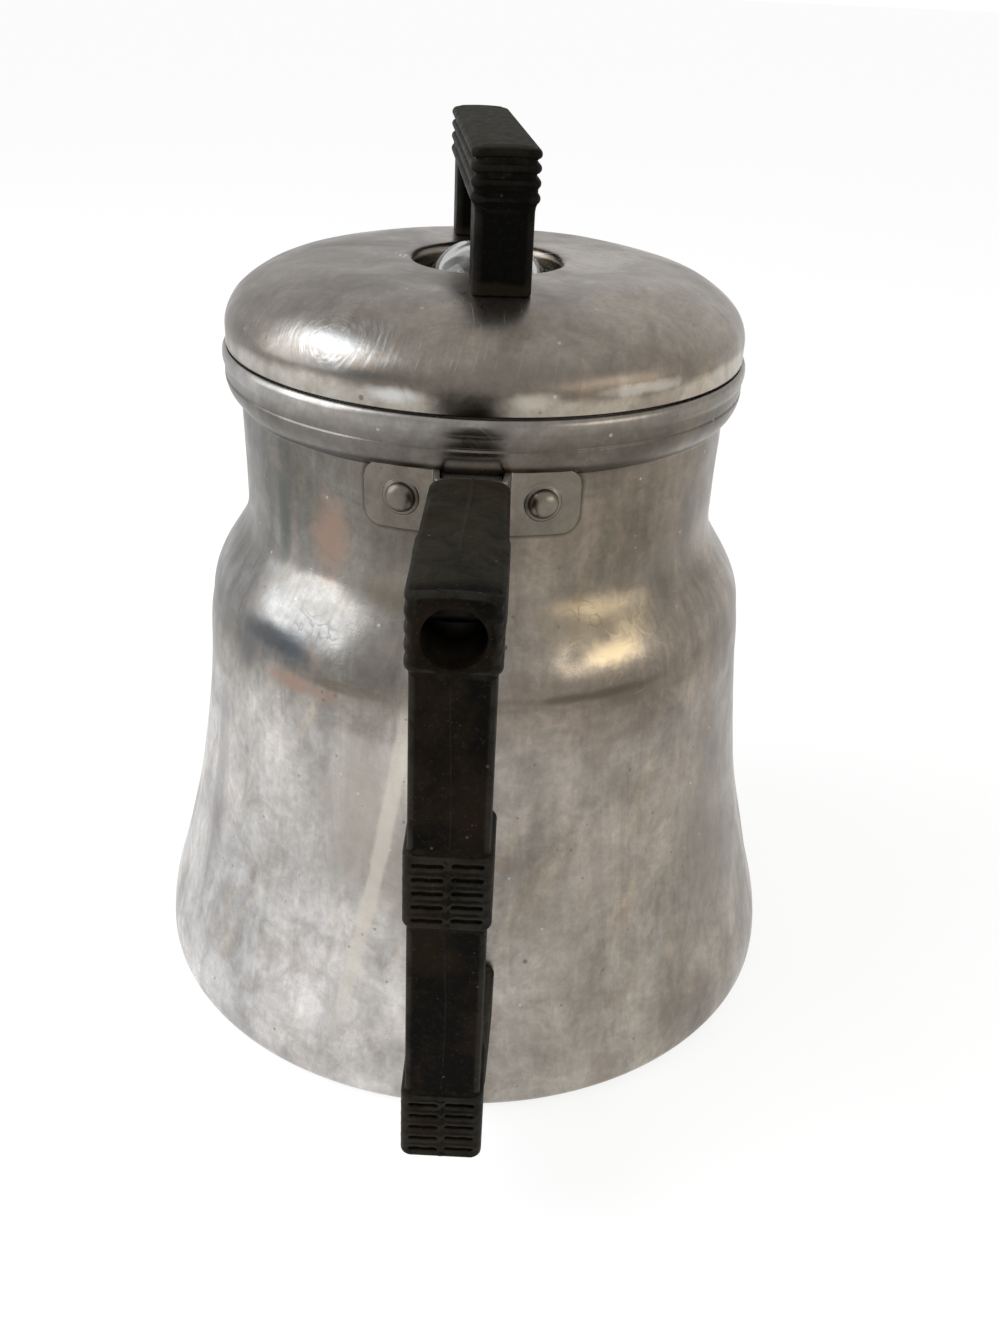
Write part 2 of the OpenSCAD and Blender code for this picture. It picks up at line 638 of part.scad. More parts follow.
// Radius and number of holes of each ring, from the sleeve out to the basket's corner
sieve_n = [12, 18, 24, 30];
sieve_in_r = sleeve_r + 7.6;
sieve_out_r = basket_r - 7;
sieve_rings = [for (i = [0:len(sieve_n) - 1])
    [sieve_in_r + (sieve_out_r - sieve_in_r) * i / (len(sieve_n) - 1), sieve_n[i]]];
module sieve_holes(z) {
    for (ring = sieve_rings, i = [0:ring[1] - 1]) rotate([0, 0, 360 * i / ring[1]])
        translate([ring[0], 0, z - cut]) cylinder(d = sieve_d, h = 2 * cut + basket_wall);
}
basket_bead_r = 1.2; // the basket's rolled rim
basket_line = concat([[sleeve_r, basket_z]],
    arc([basket_r - basket_corner_r, basket_z + basket_corner_r],
        [basket_corner_r, basket_corner_r], -90, 0, 6),
    [[basket_r, basket_rim_z - 1.2 * basket_bead_r]]);
module coffee_basket() {
    color(aluminium) difference() {
        union() {
            rotate_extrude()
                polygon(concat(basket_line, reversed(moved_left(basket_line, basket_wall))));
            rotate_extrude() translate([basket_r - basket_wall / 2, basket_rim_z - basket_bead_r])
                circle(r = basket_bead_r, $fn = 24);
        }
        sieve_holes(basket_z);
    }
}
module basket_sleeve() {
    color(worn_aluminium) rotate_extrude() translate([tube_r + sleeve_gap, basket_z]) polygon([
        [0, -flange_h], [sleeve_wall + sleeve_flange, -flange_h], [sleeve_wall + sleeve_flange, 0],
        [sleeve_wall, 0], [sleeve_wall, sleeve_h], [0, sleeve_h]]);
}
spreader_z = basket_rim_z + seat_gap; // the spreader's flat, on the basket's rim
spreader_r = basket_r + 0.4; // inside of the spreader's rim
spreader_rim_h = 3.4;
module spreader() {
    hub_r = tube_r + 1.2;
    color(aluminium) difference() {
        rotate_extrude() translate([0, spreader_z]) polygon([
            [hub_r, 0], [spreader_r + basket_wall, 0], [spreader_r + basket_wall, spreader_rim_h],
            [spreader_r, spreader_rim_h], [spreader_r, basket_wall], [hub_r + basket_wall, basket_wall],
            [hub_r + basket_wall, 0.8 * spreader_rim_h], [hub_r, 0.8 * spreader_rim_h]]);
        sieve_holes(spreader_z);
    }
}
module pump_tube() {
    color(aluminium) difference() {
        translate([0, 0, tube_low_z]) cylinder(r = tube_r, h = tube_top_z - tube_low_z);
        translate([0, 0, tube_low_z - cut])
            cylinder(r = tube_r - tube_wall, h = tube_top_z - tube_low_z + 2 * cut);
    }
}
stop_h = 2.2;
module tube_stop() {
    color(worn_aluminium) translate([0, 0, basket_z - flange_h - seat_gap - stop_h]) difference() {
        cylinder(r = sleeve_r + 0.8, h = stop_h);
        translate([0, 0, -cut]) cylinder(r = tube_r, h = stop_h + 2 * cut);
    }
}
pump_low_z = pot_wall + seat_gap;
pump_top_z = pump_low_z + pump_h;
valve_seat_z = pump_top_z - 8; // top of the ledge that the valve disc rests on
valve_disc_t = 0.8;
chamber_r = 8; // inside of the valve's chamber
seat_hole_r = 4;
tube_low_z = pump_top_z - 4.2;
// The foot's outer line, from its rim up to the tube
foot_line = concat([[pump_r, pump_low_z], [pump_r, pump_low_z + 1.6]],
    curve([pump_r, pump_low_z + 1.6], [pump_r - 5, pump_low_z + 9],
        [chamber_r + 7, valve_seat_z - 5], [chamber_r + pump_wall, valve_seat_z - pump_wall]),
    [[chamber_r + pump_wall, pump_top_z - 3], [tube_r + pump_wall, pump_top_z],
        [tube_r, pump_top_z]]);
pump_notch_r = 3; // water's ways in, under the bell's edge
pump_notch_l = 12;
module pump_foot() {
    color(worn_aluminium) difference() {
        rotate_extrude() difference() {
            polygon(concat([[0, pump_low_z]], rest(concat([[0, 0]], foot_line)), [[0, pump_top_z]]));
            // the bell's inside
            polygon(concat([[0, pump_low_z - cut], [pump_r - pump_wall, pump_low_z - cut]],
                curve([pump_r - pump_wall, pump_low_z + 1], [pump_r - 5.6, pump_low_z + 8],
                    [chamber_r + 6, valve_seat_z - 6.4], [seat_hole_r, valve_seat_z - pump_wall]),
                [[0, valve_seat_z - pump_wall]]));
            // the valve's chamber and the seat of the tube
            translate([0, valve_seat_z - pump_wall - cut]) square([seat_hole_r, 3]);
            translate([0, valve_seat_z]) square([chamber_r, pump_top_z - valve_seat_z - 4]);
            translate([0, valve_seat_z]) square([tube_r, pump_h]);
        }
        for (a = [45:90:315]) rotate([0, 0, a]) translate([pump_r, 0, pump_low_z])
            rotate([0, 90, 0]) cylinder(r = pump_notch_r, h = pump_notch_l, center = true);
    }
}
module valve_disc() {
    color(steel) translate([0, 0, valve_seat_z + 0.1])
        cylinder(r = chamber_r - 1.2, h = valve_disc_t);
}

pot_base();
pot_flare();
pot_shoulder();
pot_neck();
spout();
handle_bracket();
bracket_rivets();
pot_handle();
handle_screw();
handle_washer();
handle_nut();
lid_shell();
lid_seat_ring();
glass_dome();
dome_retainer();
lid_handle();
lid_handle_screws();
lid_handle_washers();
spreader();
coffee_basket();
basket_sleeve();
pump_tube();
tube_stop();
pump_foot();
valve_disc();
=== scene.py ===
"""Stovetop coffee percolator, dressed for a picture.

A bell-shaped pot of worn aluminium with a moulded pot handle and a pressed bracket, a lift-off lid
with a bridge handle over a glass dome, a spout, and the pump, basket and spreader inside.
Sizes in the classes are millimetres; meshes are made in metres, in the part's own frame.
"""
import logging
import math
from dataclasses import dataclass
from enum import Enum
from typing import Any, Callable, Iterable, Sequence

import bpy
import numpy as np
from mathutils import Matrix, Vector


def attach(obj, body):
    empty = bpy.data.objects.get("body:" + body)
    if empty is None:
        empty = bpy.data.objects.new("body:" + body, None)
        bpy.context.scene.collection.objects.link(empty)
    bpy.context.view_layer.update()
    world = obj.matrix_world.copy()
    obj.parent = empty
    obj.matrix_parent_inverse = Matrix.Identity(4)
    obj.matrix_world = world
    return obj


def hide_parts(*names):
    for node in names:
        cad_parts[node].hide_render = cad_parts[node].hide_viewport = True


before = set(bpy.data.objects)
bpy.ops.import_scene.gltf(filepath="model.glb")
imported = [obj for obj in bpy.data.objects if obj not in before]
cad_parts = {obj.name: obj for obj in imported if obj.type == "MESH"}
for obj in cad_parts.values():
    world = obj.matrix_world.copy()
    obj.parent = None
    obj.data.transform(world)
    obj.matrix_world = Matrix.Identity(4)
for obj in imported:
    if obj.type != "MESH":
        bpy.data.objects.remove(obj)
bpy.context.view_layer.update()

LOG = logging.getLogger("percolator")
MM = 0.001
MEAN_R = 60.0
NECK_R = 56.4
Array = np.ndarray
Socket = bpy.types.NodeSocket
Colour = tuple[float, float, float]
Place = tuple[float, float, float]
Dent = tuple[float, float, float, float]  # degrees round, place along, size, depth


# ---------------------------------------------------------------- lines and fields

def cubic(t: Array, *pull: Sequence[float]) -> Array:
    """The cubic curve with the given four pulling points, at t from 0 to 1."""
    a, b, c, d = (np.asarray(p, float) for p in pull)
    return (1 - t) ** 3 * a + 3 * t * (1 - t) ** 2 * b + 3 * t * t * (1 - t) * c + t ** 3 * d


def bezier(a: Sequence[float], b: Sequence[float], c: Sequence[float], d: Sequence[float],
           n: int) -> Array:
    """Points on a cubic curve.

    Args:
        a, b, c, d: The curve's ends and its two pulling points.
        n: The number of steps.

    Returns:
        n + 1 points.
    """
    return cubic(np.linspace(0, 1, n + 1)[:, None], a, b, c, d)


def arc(centre: Sequence[float], radii: Sequence[float], start: float, end: float, n: int) -> Array:
    """Points on an ellipse's arc, from start to end degrees."""
    a = np.radians(np.linspace(start, end, n + 1))
    return np.stack([centre[0] + radii[0] * np.cos(a), centre[1] + radii[1] * np.sin(a)], 1)


def chain(*parts: Iterable[Sequence[float]]) -> Array:
    """One line from several, without doubled points."""
    points = np.vstack([np.asarray(p, float).reshape(-1, 2) for p in parts])
    keep = np.r_[True, np.linalg.norm(np.diff(points, axis=0), axis=1) > 1e-6]
    return points[keep]


def run_along(points: Array) -> Array:
    """How far along the line each of its points is."""
    return np.r_[0, np.cumsum(np.linalg.norm(np.diff(points, axis=0), axis=1))]


def right_of(points: Array) -> Array:
    """A direction of length one to the line's right at each of its points."""
    run = np.gradient(points, axis=0)
    run /= np.maximum(np.linalg.norm(run, axis=1, keepdims=True), 1e-9)
    return np.stack([run[:, 1], -run[:, 0]], 1)


def resampled(points: Array, step: float) -> Array:
    """The line with points an even distance apart, about step."""
    length = run_along(points)
    at = np.linspace(0, length[-1], max(2, round(length[-1] / step) + 1))
    return np.stack([np.interp(at, length, points[:, k]) for k in range(points.shape[1])], 1)


def left_of(points: Array, distance: float) -> Array:
    """The line moved sideways to its left by distance."""
    return points - distance * right_of(points)


def filleted(points: Sequence[Sequence[float]], radii: Sequence[float], n: int = 6) -> Array:
    """The open line with its inner corners rounded.

    Args:
        points: The line's corners.
        radii: A radius for each corner, the two ends included.
        n: Steps on each rounding.

    Returns:
        The rounded line.
    """
    points = np.asarray(points, float)
    made = [points[:1]]
    for before, at, after, radius in zip(points, points[1:], points[2:], radii[1:]):
        p, q = before - at, after - at
        turn = math.acos(float(np.clip(p @ q / np.linalg.norm(p) / np.linalg.norm(q), -1, 1)))
        back = min(radius / max(math.tan(turn / 2), 1e-6), 0.49 * np.linalg.norm(p),
                   0.49 * np.linalg.norm(q))
        start, end = at + back * p / np.linalg.norm(p), at + back * q / np.linalg.norm(q)
        made.append(bezier(start, start + (at - start) * 0.56, end + (at - end) * 0.56, end, n))
    return chain(*made, points[-1:])


def eased(low: float, high: float, value: Array) -> Array:
    """A smooth step from 0 at low to 1 at high."""
    t = np.clip((value - low) / (high - low), 0, 1)
    return t * t * (3 - 2 * t)


def joined(a: Array, b: Array, k: float) -> Array:
    """Two distance fields joined, with a fillet of about k."""
    h = np.maximum(k - np.abs(a - b), 0) / k
    return np.minimum(a, b) - h * h * k * 0.25


def carved(a: Array, b: Array, k: float) -> Array:
    """Field a without field b, with a softened edge of about k."""
    return -joined(-a, b, k)


def dented(dents: Sequence[Dent], angle: Array, radius: Array, along: Array) -> Array:
    """How far the dents push the sheet, from degrees round it, radius and place along it.

    Args:
        dents: The dents.
        angle: Degrees round the sheet.
        radius: The distance from the axis.
        along: The place along the sheet.

    Returns:
        The height of the sheet, below zero in a dent.
    """
    made = 0 * along
    for turn, place, size, depth in dents:
        off = (angle - turn + 180) % 360 - 180
        far = (np.radians(off) * radius) ** 2 + (along - place) ** 2
        made = made + depth * np.exp(-far / size ** 2)
    return made


def block(point: Sequence[Array], centre: Sequence[float], half: Sequence[float],
          radius: float) -> Array:
    """Distance to a block with rounded edges, in as many axes as are given.

    Args:
        point: The place, axis by axis.
        centre: The block's middle.
        half: Half of its sizes.
        radius: The rounding of its edges.

    Returns:
        The distance, below zero inside.
    """
    q = [np.abs(p - c) - h + radius for p, c, h in zip(point, centre, half)]
    top = q[0]
    for v in q[1:]:
        top = np.maximum(top, v)
    return np.sqrt(sum(np.maximum(v, 0) ** 2 for v in q)) + np.minimum(top, 0) - radius


def prism(flat: Array, across: Array, radius: float) -> Array:
    """Distance to a flat shape given a thickness, with rounded edges."""
    a, b = flat + radius, across + radius
    return np.minimum(np.maximum(a, b), 0) + np.hypot(np.maximum(a, 0), np.maximum(b, 0)) - radius


class Outline:
    """A closed outline's distance, kept on a fine grid so that it is quick to read."""

    def __init__(self, points: Array, cell: float = 0.2, margin: float = 6.0) -> None:
        """Measures the distance to the outline round every grid point.

        Args:
            points: The outline's corners.
            cell: The grid's step.
            margin: How far the grid goes past the outline.
        """
        self.cell = cell
        self.low = points.min(0) - margin
        size = np.ceil((points.max(0) + margin - self.low) / cell).astype(int) + 2
        u, v = np.meshgrid(*(self.low[k] + cell * np.arange(size[k]) for k in (0, 1)),
                           indexing="ij")
        best = np.full(u.shape, 1e9)
        inside = np.zeros(u.shape, bool)
        for (ax, ay), (bx, by) in zip(points, np.roll(points, -1, axis=0)):
            dx, dy = bx - ax, by - ay
            t = np.clip(((u - ax) * dx + (v - ay) * dy) / max(dx * dx + dy * dy, 1e-12), 0, 1)
            best = np.minimum(best, (u - ax - t * dx) ** 2 + (v - ay - t * dy) ** 2)
            if dy:
                inside ^= ((ay > v) != (by > v)) & (u < (v - ay) * dx / dy + ax)
        self.distance = np.where(inside, -1, 1) * np.sqrt(best)

    def __call__(self, u: Array, v: Array) -> Array:
        """The distance at a place.

        Args:
            u, v: The place.

        Returns:
            The distance, below zero inside.
        """
        size = self.distance.shape
        a = np.clip((u - self.low[0]) / self.cell, 0, size[0] - 1.001)
        b = np.clip((v - self.low[1]) / self.cell, 0, size[1] - 1.001)
        i, j = a.astype(int), b.astype(int)
        a, b, d = a - i, b - j, self.distance
        return ((d[i, j] * (1 - a) + d[i + 1, j] * a) * (1 - b)
                + (d[i, j + 1] * (1 - a) + d[i + 1, j + 1] * a) * b)


def skinned(shape: Callable[[Array, Array, Array], Array], low: Sequence[float],
            high: Sequence[float], cell: float) -> tuple[Array, Array, Array]:
    """Turns a distance field into a smooth skin of four-sided faces.

    Args:
        shape: Distance in millimetres from x, y and z, below zero inside.
        low, high: The box to look in.
        cell: Size of a face.

    Returns:
        Points, faces, and how sharply the skin turns at each point, above zero on outer edges.
    """
    low = np.asarray(low, float)
    axes = [low[k] + cell * np.arange(math.ceil((high[k] - low[k]) / cell) + 2) for k in range(3)]
    grid = np.meshgrid(*axes, indexing="ij")
    coarse = 3
    values = shape(*(a[::coarse, ::coarse, ::coarse] for a in grid))
    values = values[np.ix_(*(np.minimum((np.arange(len(a)) + 1) // coarse, size - 1)
                             for a, size in zip(axes, values.shape)))].copy()
    near = np.abs(values) < (coarse + 0.2) * cell
    values[near] = shape(*(a[near] for a in grid))
    inside = values < 0
    corners = [(i, j, k) for i in (0, 1) for j in (0, 1) for k in (0, 1)]
    n = np.array(values.shape) - 1

    def at(grid: Array, c: Sequence[int]) -> Array:
        """One corner of every cell."""
        return grid[c[0]:c[0] + n[0], c[1]:c[1] + n[1], c[2]:c[2] + n[2]]

    count = sum(at(inside, c).astype(np.int8) for c in corners)
    where = np.argwhere((count > 0) & (count < 8))
    number = np.full(tuple(n), -1, np.int64)
    number[tuple(where.T)] = np.arange(len(where))
    total, met = np.zeros((len(where), 3)), np.zeros(len(where))
    for c in corners:
        for axis in range(3):
            if c[axis]:
                continue
            d = list(c)
            d[axis] = 1
            fa = values[tuple((where + c).T)]
            fb = values[tuple((where + d).T)]
            cross = (fa < 0) != (fb < 0)
            t = np.where(cross, fa / np.where(cross, fa - fb, 1), 0)
            point = where + c + t[:, None] * (np.array(d) - c)
            total[cross] += point[cross]
            met += cross
    points = low + cell * total / met[:, None]
    faces = []
    for axis in range(3):
        b, c = [k for k in range(3) if k != axis]
        ahead = np.roll(inside, -1, axis)
        edge = np.argwhere(inside != ahead)
        edge = edge[(edge[:, axis] < n[axis]) & (edge[:, b] > 0) & (edge[:, c] > 0)
                    & (edge[:, b] < n[b]) & (edge[:, c] < n[c])]
        step_b, step_c = np.eye(3, dtype=int)[b], np.eye(3, dtype=int)[c]
        quad = np.stack([number[tuple((edge - s).T)] for s in
                         (step_b + step_c, step_c, 0 * step_b, step_b)], 1)
        out = inside[tuple(edge.T)] ^ (axis == 1)
        quad[~out] = quad[~out][:, ::-1]
        faces.append(quad)
    step, pulls, wide = 0.06, 3, 0.7

    def slope(p: Array) -> Array:
        """The field's gradient at each point."""
        return np.stack([(shape(*(p + step * e).T) - shape(*(p - step * e).T)) / (2 * step)
                         for e in np.eye(3)], 1)

    for _ in range(pulls):
        g = slope(points)
        move = (shape(*points.T) / np.maximum((g * g).sum(1), 0.2))[:, None] * g
        size = np.linalg.norm(move, axis=1, keepdims=True)
        points -= move * np.minimum(1, 0.5 * cell / np.maximum(size, 1e-9))
    turn = sum(shape(*(points + wide * e * s).T) for e in np.eye(3) for s in (-1, 1)) / wide ** 2
    return points, np.vstack(faces), turn


# ---------------------------------------------------------------- meshes

def piece_from(name: str, points: Array, faces: Sequence[Sequence[int]] | Array,
               corner_uv: Array | None = None) -> bpy.types.Object:
    """A smooth-shaded object from points in millimetres.

    Args:
        name: The piece's name.
        points: Its points.
        faces: Its faces, as rows of point numbers.
        corner_uv: A UV pair for each corner of each face, in order.

    Returns:
        The object, linked to the scene.
    """
    mesh = bpy.data.meshes.new(name)
    mesh.from_pydata((np.asarray(points, float) * MM).tolist(), [],
                     faces.tolist() if isinstance(faces, np.ndarray) else list(faces))
    if corner_uv is not None:
        mesh.uv_layers.new(name="surface").data.foreach_set("uv", np.asarray(corner_uv).ravel())
    mesh.update()
    mesh.shade_smooth()
    made = bpy.data.objects.new(name, mesh)
    bpy.context.scene.collection.objects.link(made)
    return made


def keep_values(piece: bpy.types.Object, name: str, values: Array) -> None:
    """Stores one number for each point of a piece, for its finish to read."""
    piece.data.attributes.new(name, "FLOAT", "POINT").data.foreach_set(
        "value", np.asarray(values, np.float32))


def lathed(name: str, line: Array, sides: int,
           relief: Callable[[Array, Array, Array], Array] | None = None) -> bpy.types.Object:
    """A line of (radius, height) turned about the axis.

    A line that starts or ends on the axis gets a closed pole there, and one that does neither is
    joined end to end. The line runs with its outside on its right.

    Args:
        name: The piece's name.
        line: The line's points.
        sides: Steps round the axis.
        relief: How far the skin stands out, from angle in degrees (0 at the front), radius and
            height.

    Returns:
        The object.
    """
    turn = np.linspace(-math.pi, math.pi, sides + 1)[:-1]
    poles = [bool(line[0, 0] < 1e-6), bool(line[-1, 0] < 1e-6)]
    ring_line = line[int(poles[0]):len(line) - int(poles[1])]
    normal = right_of(line)[int(poles[0]):len(line) - int(poles[1])]
    radius = np.repeat(ring_line[:, :1], sides, 1)
    height = np.repeat(ring_line[:, 1:], sides, 1)
    if relief:
        out = relief(np.degrees(np.repeat(turn[None], len(ring_line), 0)), radius, height)
        radius, height = radius + out * normal[:, :1], height + out * normal[:, 1:]
    points = np.stack([radius * np.sin(turn), -radius * np.cos(turn), height], 2).reshape(-1, 3)
    rows = len(ring_line)
    i, j = np.meshgrid(np.arange(rows - 1 if any(poles) else rows), np.arange(sides), indexing="ij")
    i, j = i.ravel(), j.ravel()
    up, on = (i + 1) % rows, (j + 1) % sides
    quads = np.stack([i * sides + j, i * sides + on, up * sides + on, up * sides + j], 1)
    length = run_along(ring_line)
    length = np.r_[length, length[-1]]
    around = 2 * math.pi * MEAN_R / sides
    uv = np.stack([np.stack([j * around, length[i]], 1), np.stack([(j + 1) * around, length[i]], 1),
                   np.stack([(j + 1) * around, length[i + 1]], 1),
                   np.stack([j * around, length[i + 1]], 1)], 1).reshape(-1, 2) * MM
    faces, corner = quads.tolist(), [uv]
    for end, pole in enumerate(poles):
        if not pole:
            continue
        points = np.vstack([points, [[0, 0, line[-end][1]]]])
        first, tip = (rows - 1) * sides * end, len(points) - 1
        for k in range(sides):
            a, b = first + k, first + (k + 1) % sides
            faces.append([a, b, tip] if end else [b, a, tip])
        corner.append(np.zeros((3 * sides, 2)))
    return piece_from(name, points, faces, np.vstack(corner))


def laid_grid(rows: int, columns: int, close_rows: bool = False,
              close_columns: bool = False) -> Array:
    """Faces of a grid of points that is stored row by row.

    Args:
        rows, columns: The grid's size.
        close_rows, close_columns: Whether it closes on itself.

    Returns:
        Four point numbers for each face.
    """
    i, j = np.meshgrid(np.arange(rows - (not close_rows)), np.arange(columns - (not close_columns)),
                       indexing="ij")
    i, j = i.ravel(), j.ravel()
    a, b = (i + 1) % rows, (j + 1) % columns
    return np.stack([i * columns + j, i * columns + b, a * columns + b, a * columns + j], 1)


def settled(piece: bpy.types.Object) -> bpy.types.Object:
    """Turns a piece and its modifiers into a plain mesh of its own.

    Args:
        piece: The piece, which loses its modifiers.

    Returns:
        The same piece.
    """
    graph = bpy.context.evaluated_depsgraph_get()
    mesh = bpy.data.meshes.new_from_object(piece.evaluated_get(graph), depsgraph=graph)
    mesh.name = piece.name
    piece.modifiers.clear()
    piece.data = mesh
    return piece


def modifier(piece: bpy.types.Object, kind: str, **values: Any) -> None:
    """Adds a modifier with the given settings."""
    made = piece.modifiers.new(kind.title(), kind)
    for key, value in values.items():
        setattr(made, key, value)


def waves(seed: int, count: int, around: tuple[int, int], up: tuple[float, float],
          depth: float) -> Callable[[Array, Array], Array]:
    """Soft unevenness of a hand-worn sheet.

    Args:
        seed: Fixes the pattern.
        count: Number of waves that are added up.
        around: Least and most waves round the pot.
        up: Least and most wavelength along the height.
        depth: Typical height of the unevenness.

    Returns:
        A function of angle in degrees and height.
    """
    pick = np.random.default_rng(seed)
    turns = pick.integers(around[0], around[1] + 1, count)
    rise = 2 * math.pi / pick.uniform(*up, count) * pick.choice([-1, 1], count)
    phase = pick.uniform(0, 2 * math.pi, count)
    size = pick.uniform(0.5, 1, count) * around[0] / turns
    size *= depth / math.sqrt((size ** 2).sum() / 2)

    def height(angle: Array, z: Array) -> Array:
        """The unevenness at a place."""
        a = np.radians(angle)
        return sum(s * np.sin(t * a + r * z + p) for s, t, r, p in zip(size, turns, rise, phase))

    return height


def add_node(tree: bpy.types.NodeTree, kind: str, **settings: Any) -> bpy.types.Node:
    """Adds a node to a tree.

    Args:
        tree: The node tree.
        kind: The node's kind.
        **settings: Its options.

    Returns:
        The node.
    """
    made = tree.nodes.new(kind)
    for key, value in settings.items():
        setattr(made, key, value)
    return made


def feed(tree: bpy.types.NodeTree, socket: Socket, value: Any) -> None:
    """Links a socket to value, or sets it where value is a constant.

    Args:
        tree: The node tree.
        socket: The input.
        value: A socket or a constant.
    """
    if isinstance(value, Socket):
        tree.links.new(value, socket)
    elif isinstance(value, (tuple, list)) and len(value) == 3 and socket.type == "RGBA":
        socket.default_value = (*value, 1)
    else:
        socket.default_value = value


def filled(tree: bpy.types.NodeTree, kind: str, *values: Any, **settings: Any) -> Socket | None:
    """Adds a shader-kind node with its inputs fed in order.

    Args:
        tree: The node tree.
        kind: The node's kind.
        *values: A socket or a constant for each input.
        **settings: The node's options.

    Returns:
        The node's first output.
    """
    made = add_node(tree, "ShaderNode" + kind, **settings)
    for socket, value in zip(made.inputs, values):
        feed(tree, socket, value)
    return made.outputs[0] if made.outputs else None


class NodeTree:
    """A geometry node tree with named inputs."""

    def __init__(self, name: str, **inputs: str) -> None:
        """Starts a tree with a geometry input and output.

        Args:
            name: The tree's name.
            **inputs: The kind of each further input.
        """
        self.tree = bpy.data.node_groups.new(name, "GeometryNodeTree")
        self.tree.interface.new_socket("Geometry", in_out="OUTPUT",
                                       socket_type="NodeSocketGeometry")
        for key, kind in {"Geometry": "Geometry", **inputs}.items():
            self.tree.interface.new_socket(key.replace("_", " "), in_out="INPUT",
                                           socket_type="NodeSocket" + kind)
        self.source = self.tree.nodes.new("NodeGroupInput")
        self.sink = self.tree.nodes.new("NodeGroupOutput")

    def given(self, name: str) -> Socket:
        """The value of a named input."""
        return self.source.outputs[name]

    def node(self, kind: str, **settings: Any) -> bpy.types.Node:
        """Adds a node and sets its options."""
        return add_node(self.tree, "GeometryNode" + kind, **settings)

    def link(self, a: bpy.types.NodeSocket, b: bpy.types.NodeSocket) -> None:
        """Joins an output to an input."""
        self.tree.links.new(a, b)

    def math(self, kind: str, a: Any, b: Any = 0.0) -> Socket:
        """One sum on numbers."""
        return filled(self.tree, "Math", a, b, operation=kind)

    def vector(self, x: Any, y: Any, z: Any) -> Socket:
        """A vector from its parts."""
        return filled(self.tree, "CombineXYZ", x, y, z)

    def row(self, count: Any, start: Socket,
            shape: Socket) -> tuple[bpy.types.Node, bpy.types.Node]:
        """Copies of a shape on a line.

        Args:
            count: How many.
            start: Where the line starts.
            shape: What is copied.

        Returns:
            The line's node and the copies' node.
        """
        line = self.node("MeshLine", mode="OFFSET")
        put = self.node("InstanceOnPoints")
        feed(self.tree, line.inputs["Count"], count)
        self.link(start, line.inputs["Start Location"])
        self.link(line.outputs["Mesh"], put.inputs["Points"])
        self.link(shape, put.inputs["Instance"])
        return line, put

    def end(self, geometry: bpy.types.NodeSocket, finish: bpy.types.Material) -> bpy.types.NodeTree:
        """Ends the tree in real faces with their finish.

        Args:
            geometry: What the tree makes.
            finish: Its material.

        Returns:
            The tree.
        """
        real = self.node("RealizeInstances")
        dress = self.node("SetMaterial")
        dress.inputs["Material"].default_value = finish
        self.link(geometry, real.inputs[0])
        self.link(real.outputs[0], dress.inputs["Geometry"])
        self.link(dress.outputs[0], self.sink.inputs[0])
        return self.tree


def run_nodes(piece: bpy.types.Object, tree: bpy.types.NodeTree, **values: Any) -> None:
    """Puts a node tree on a piece with its named inputs set.

    Args:
        piece: The piece.
        tree: The tree.
        **values: A value for each input's name.
    """
    made = piece.modifiers.new(tree.name, "NODES")
    made.node_group = tree
    for item in tree.interface.items_tree:
        if item.item_type == "SOCKET" and item.in_out == "INPUT":
            key = item.name.replace(" ", "_")
            if key in values:
                made[item.identifier] = values[key]


# ---------------------------------------------------------------- finishes

class Lay(Enum):
    """Which way wear runs over a sheet."""

    WALL = "round and up a wall"
    TOP = "across a flat top"


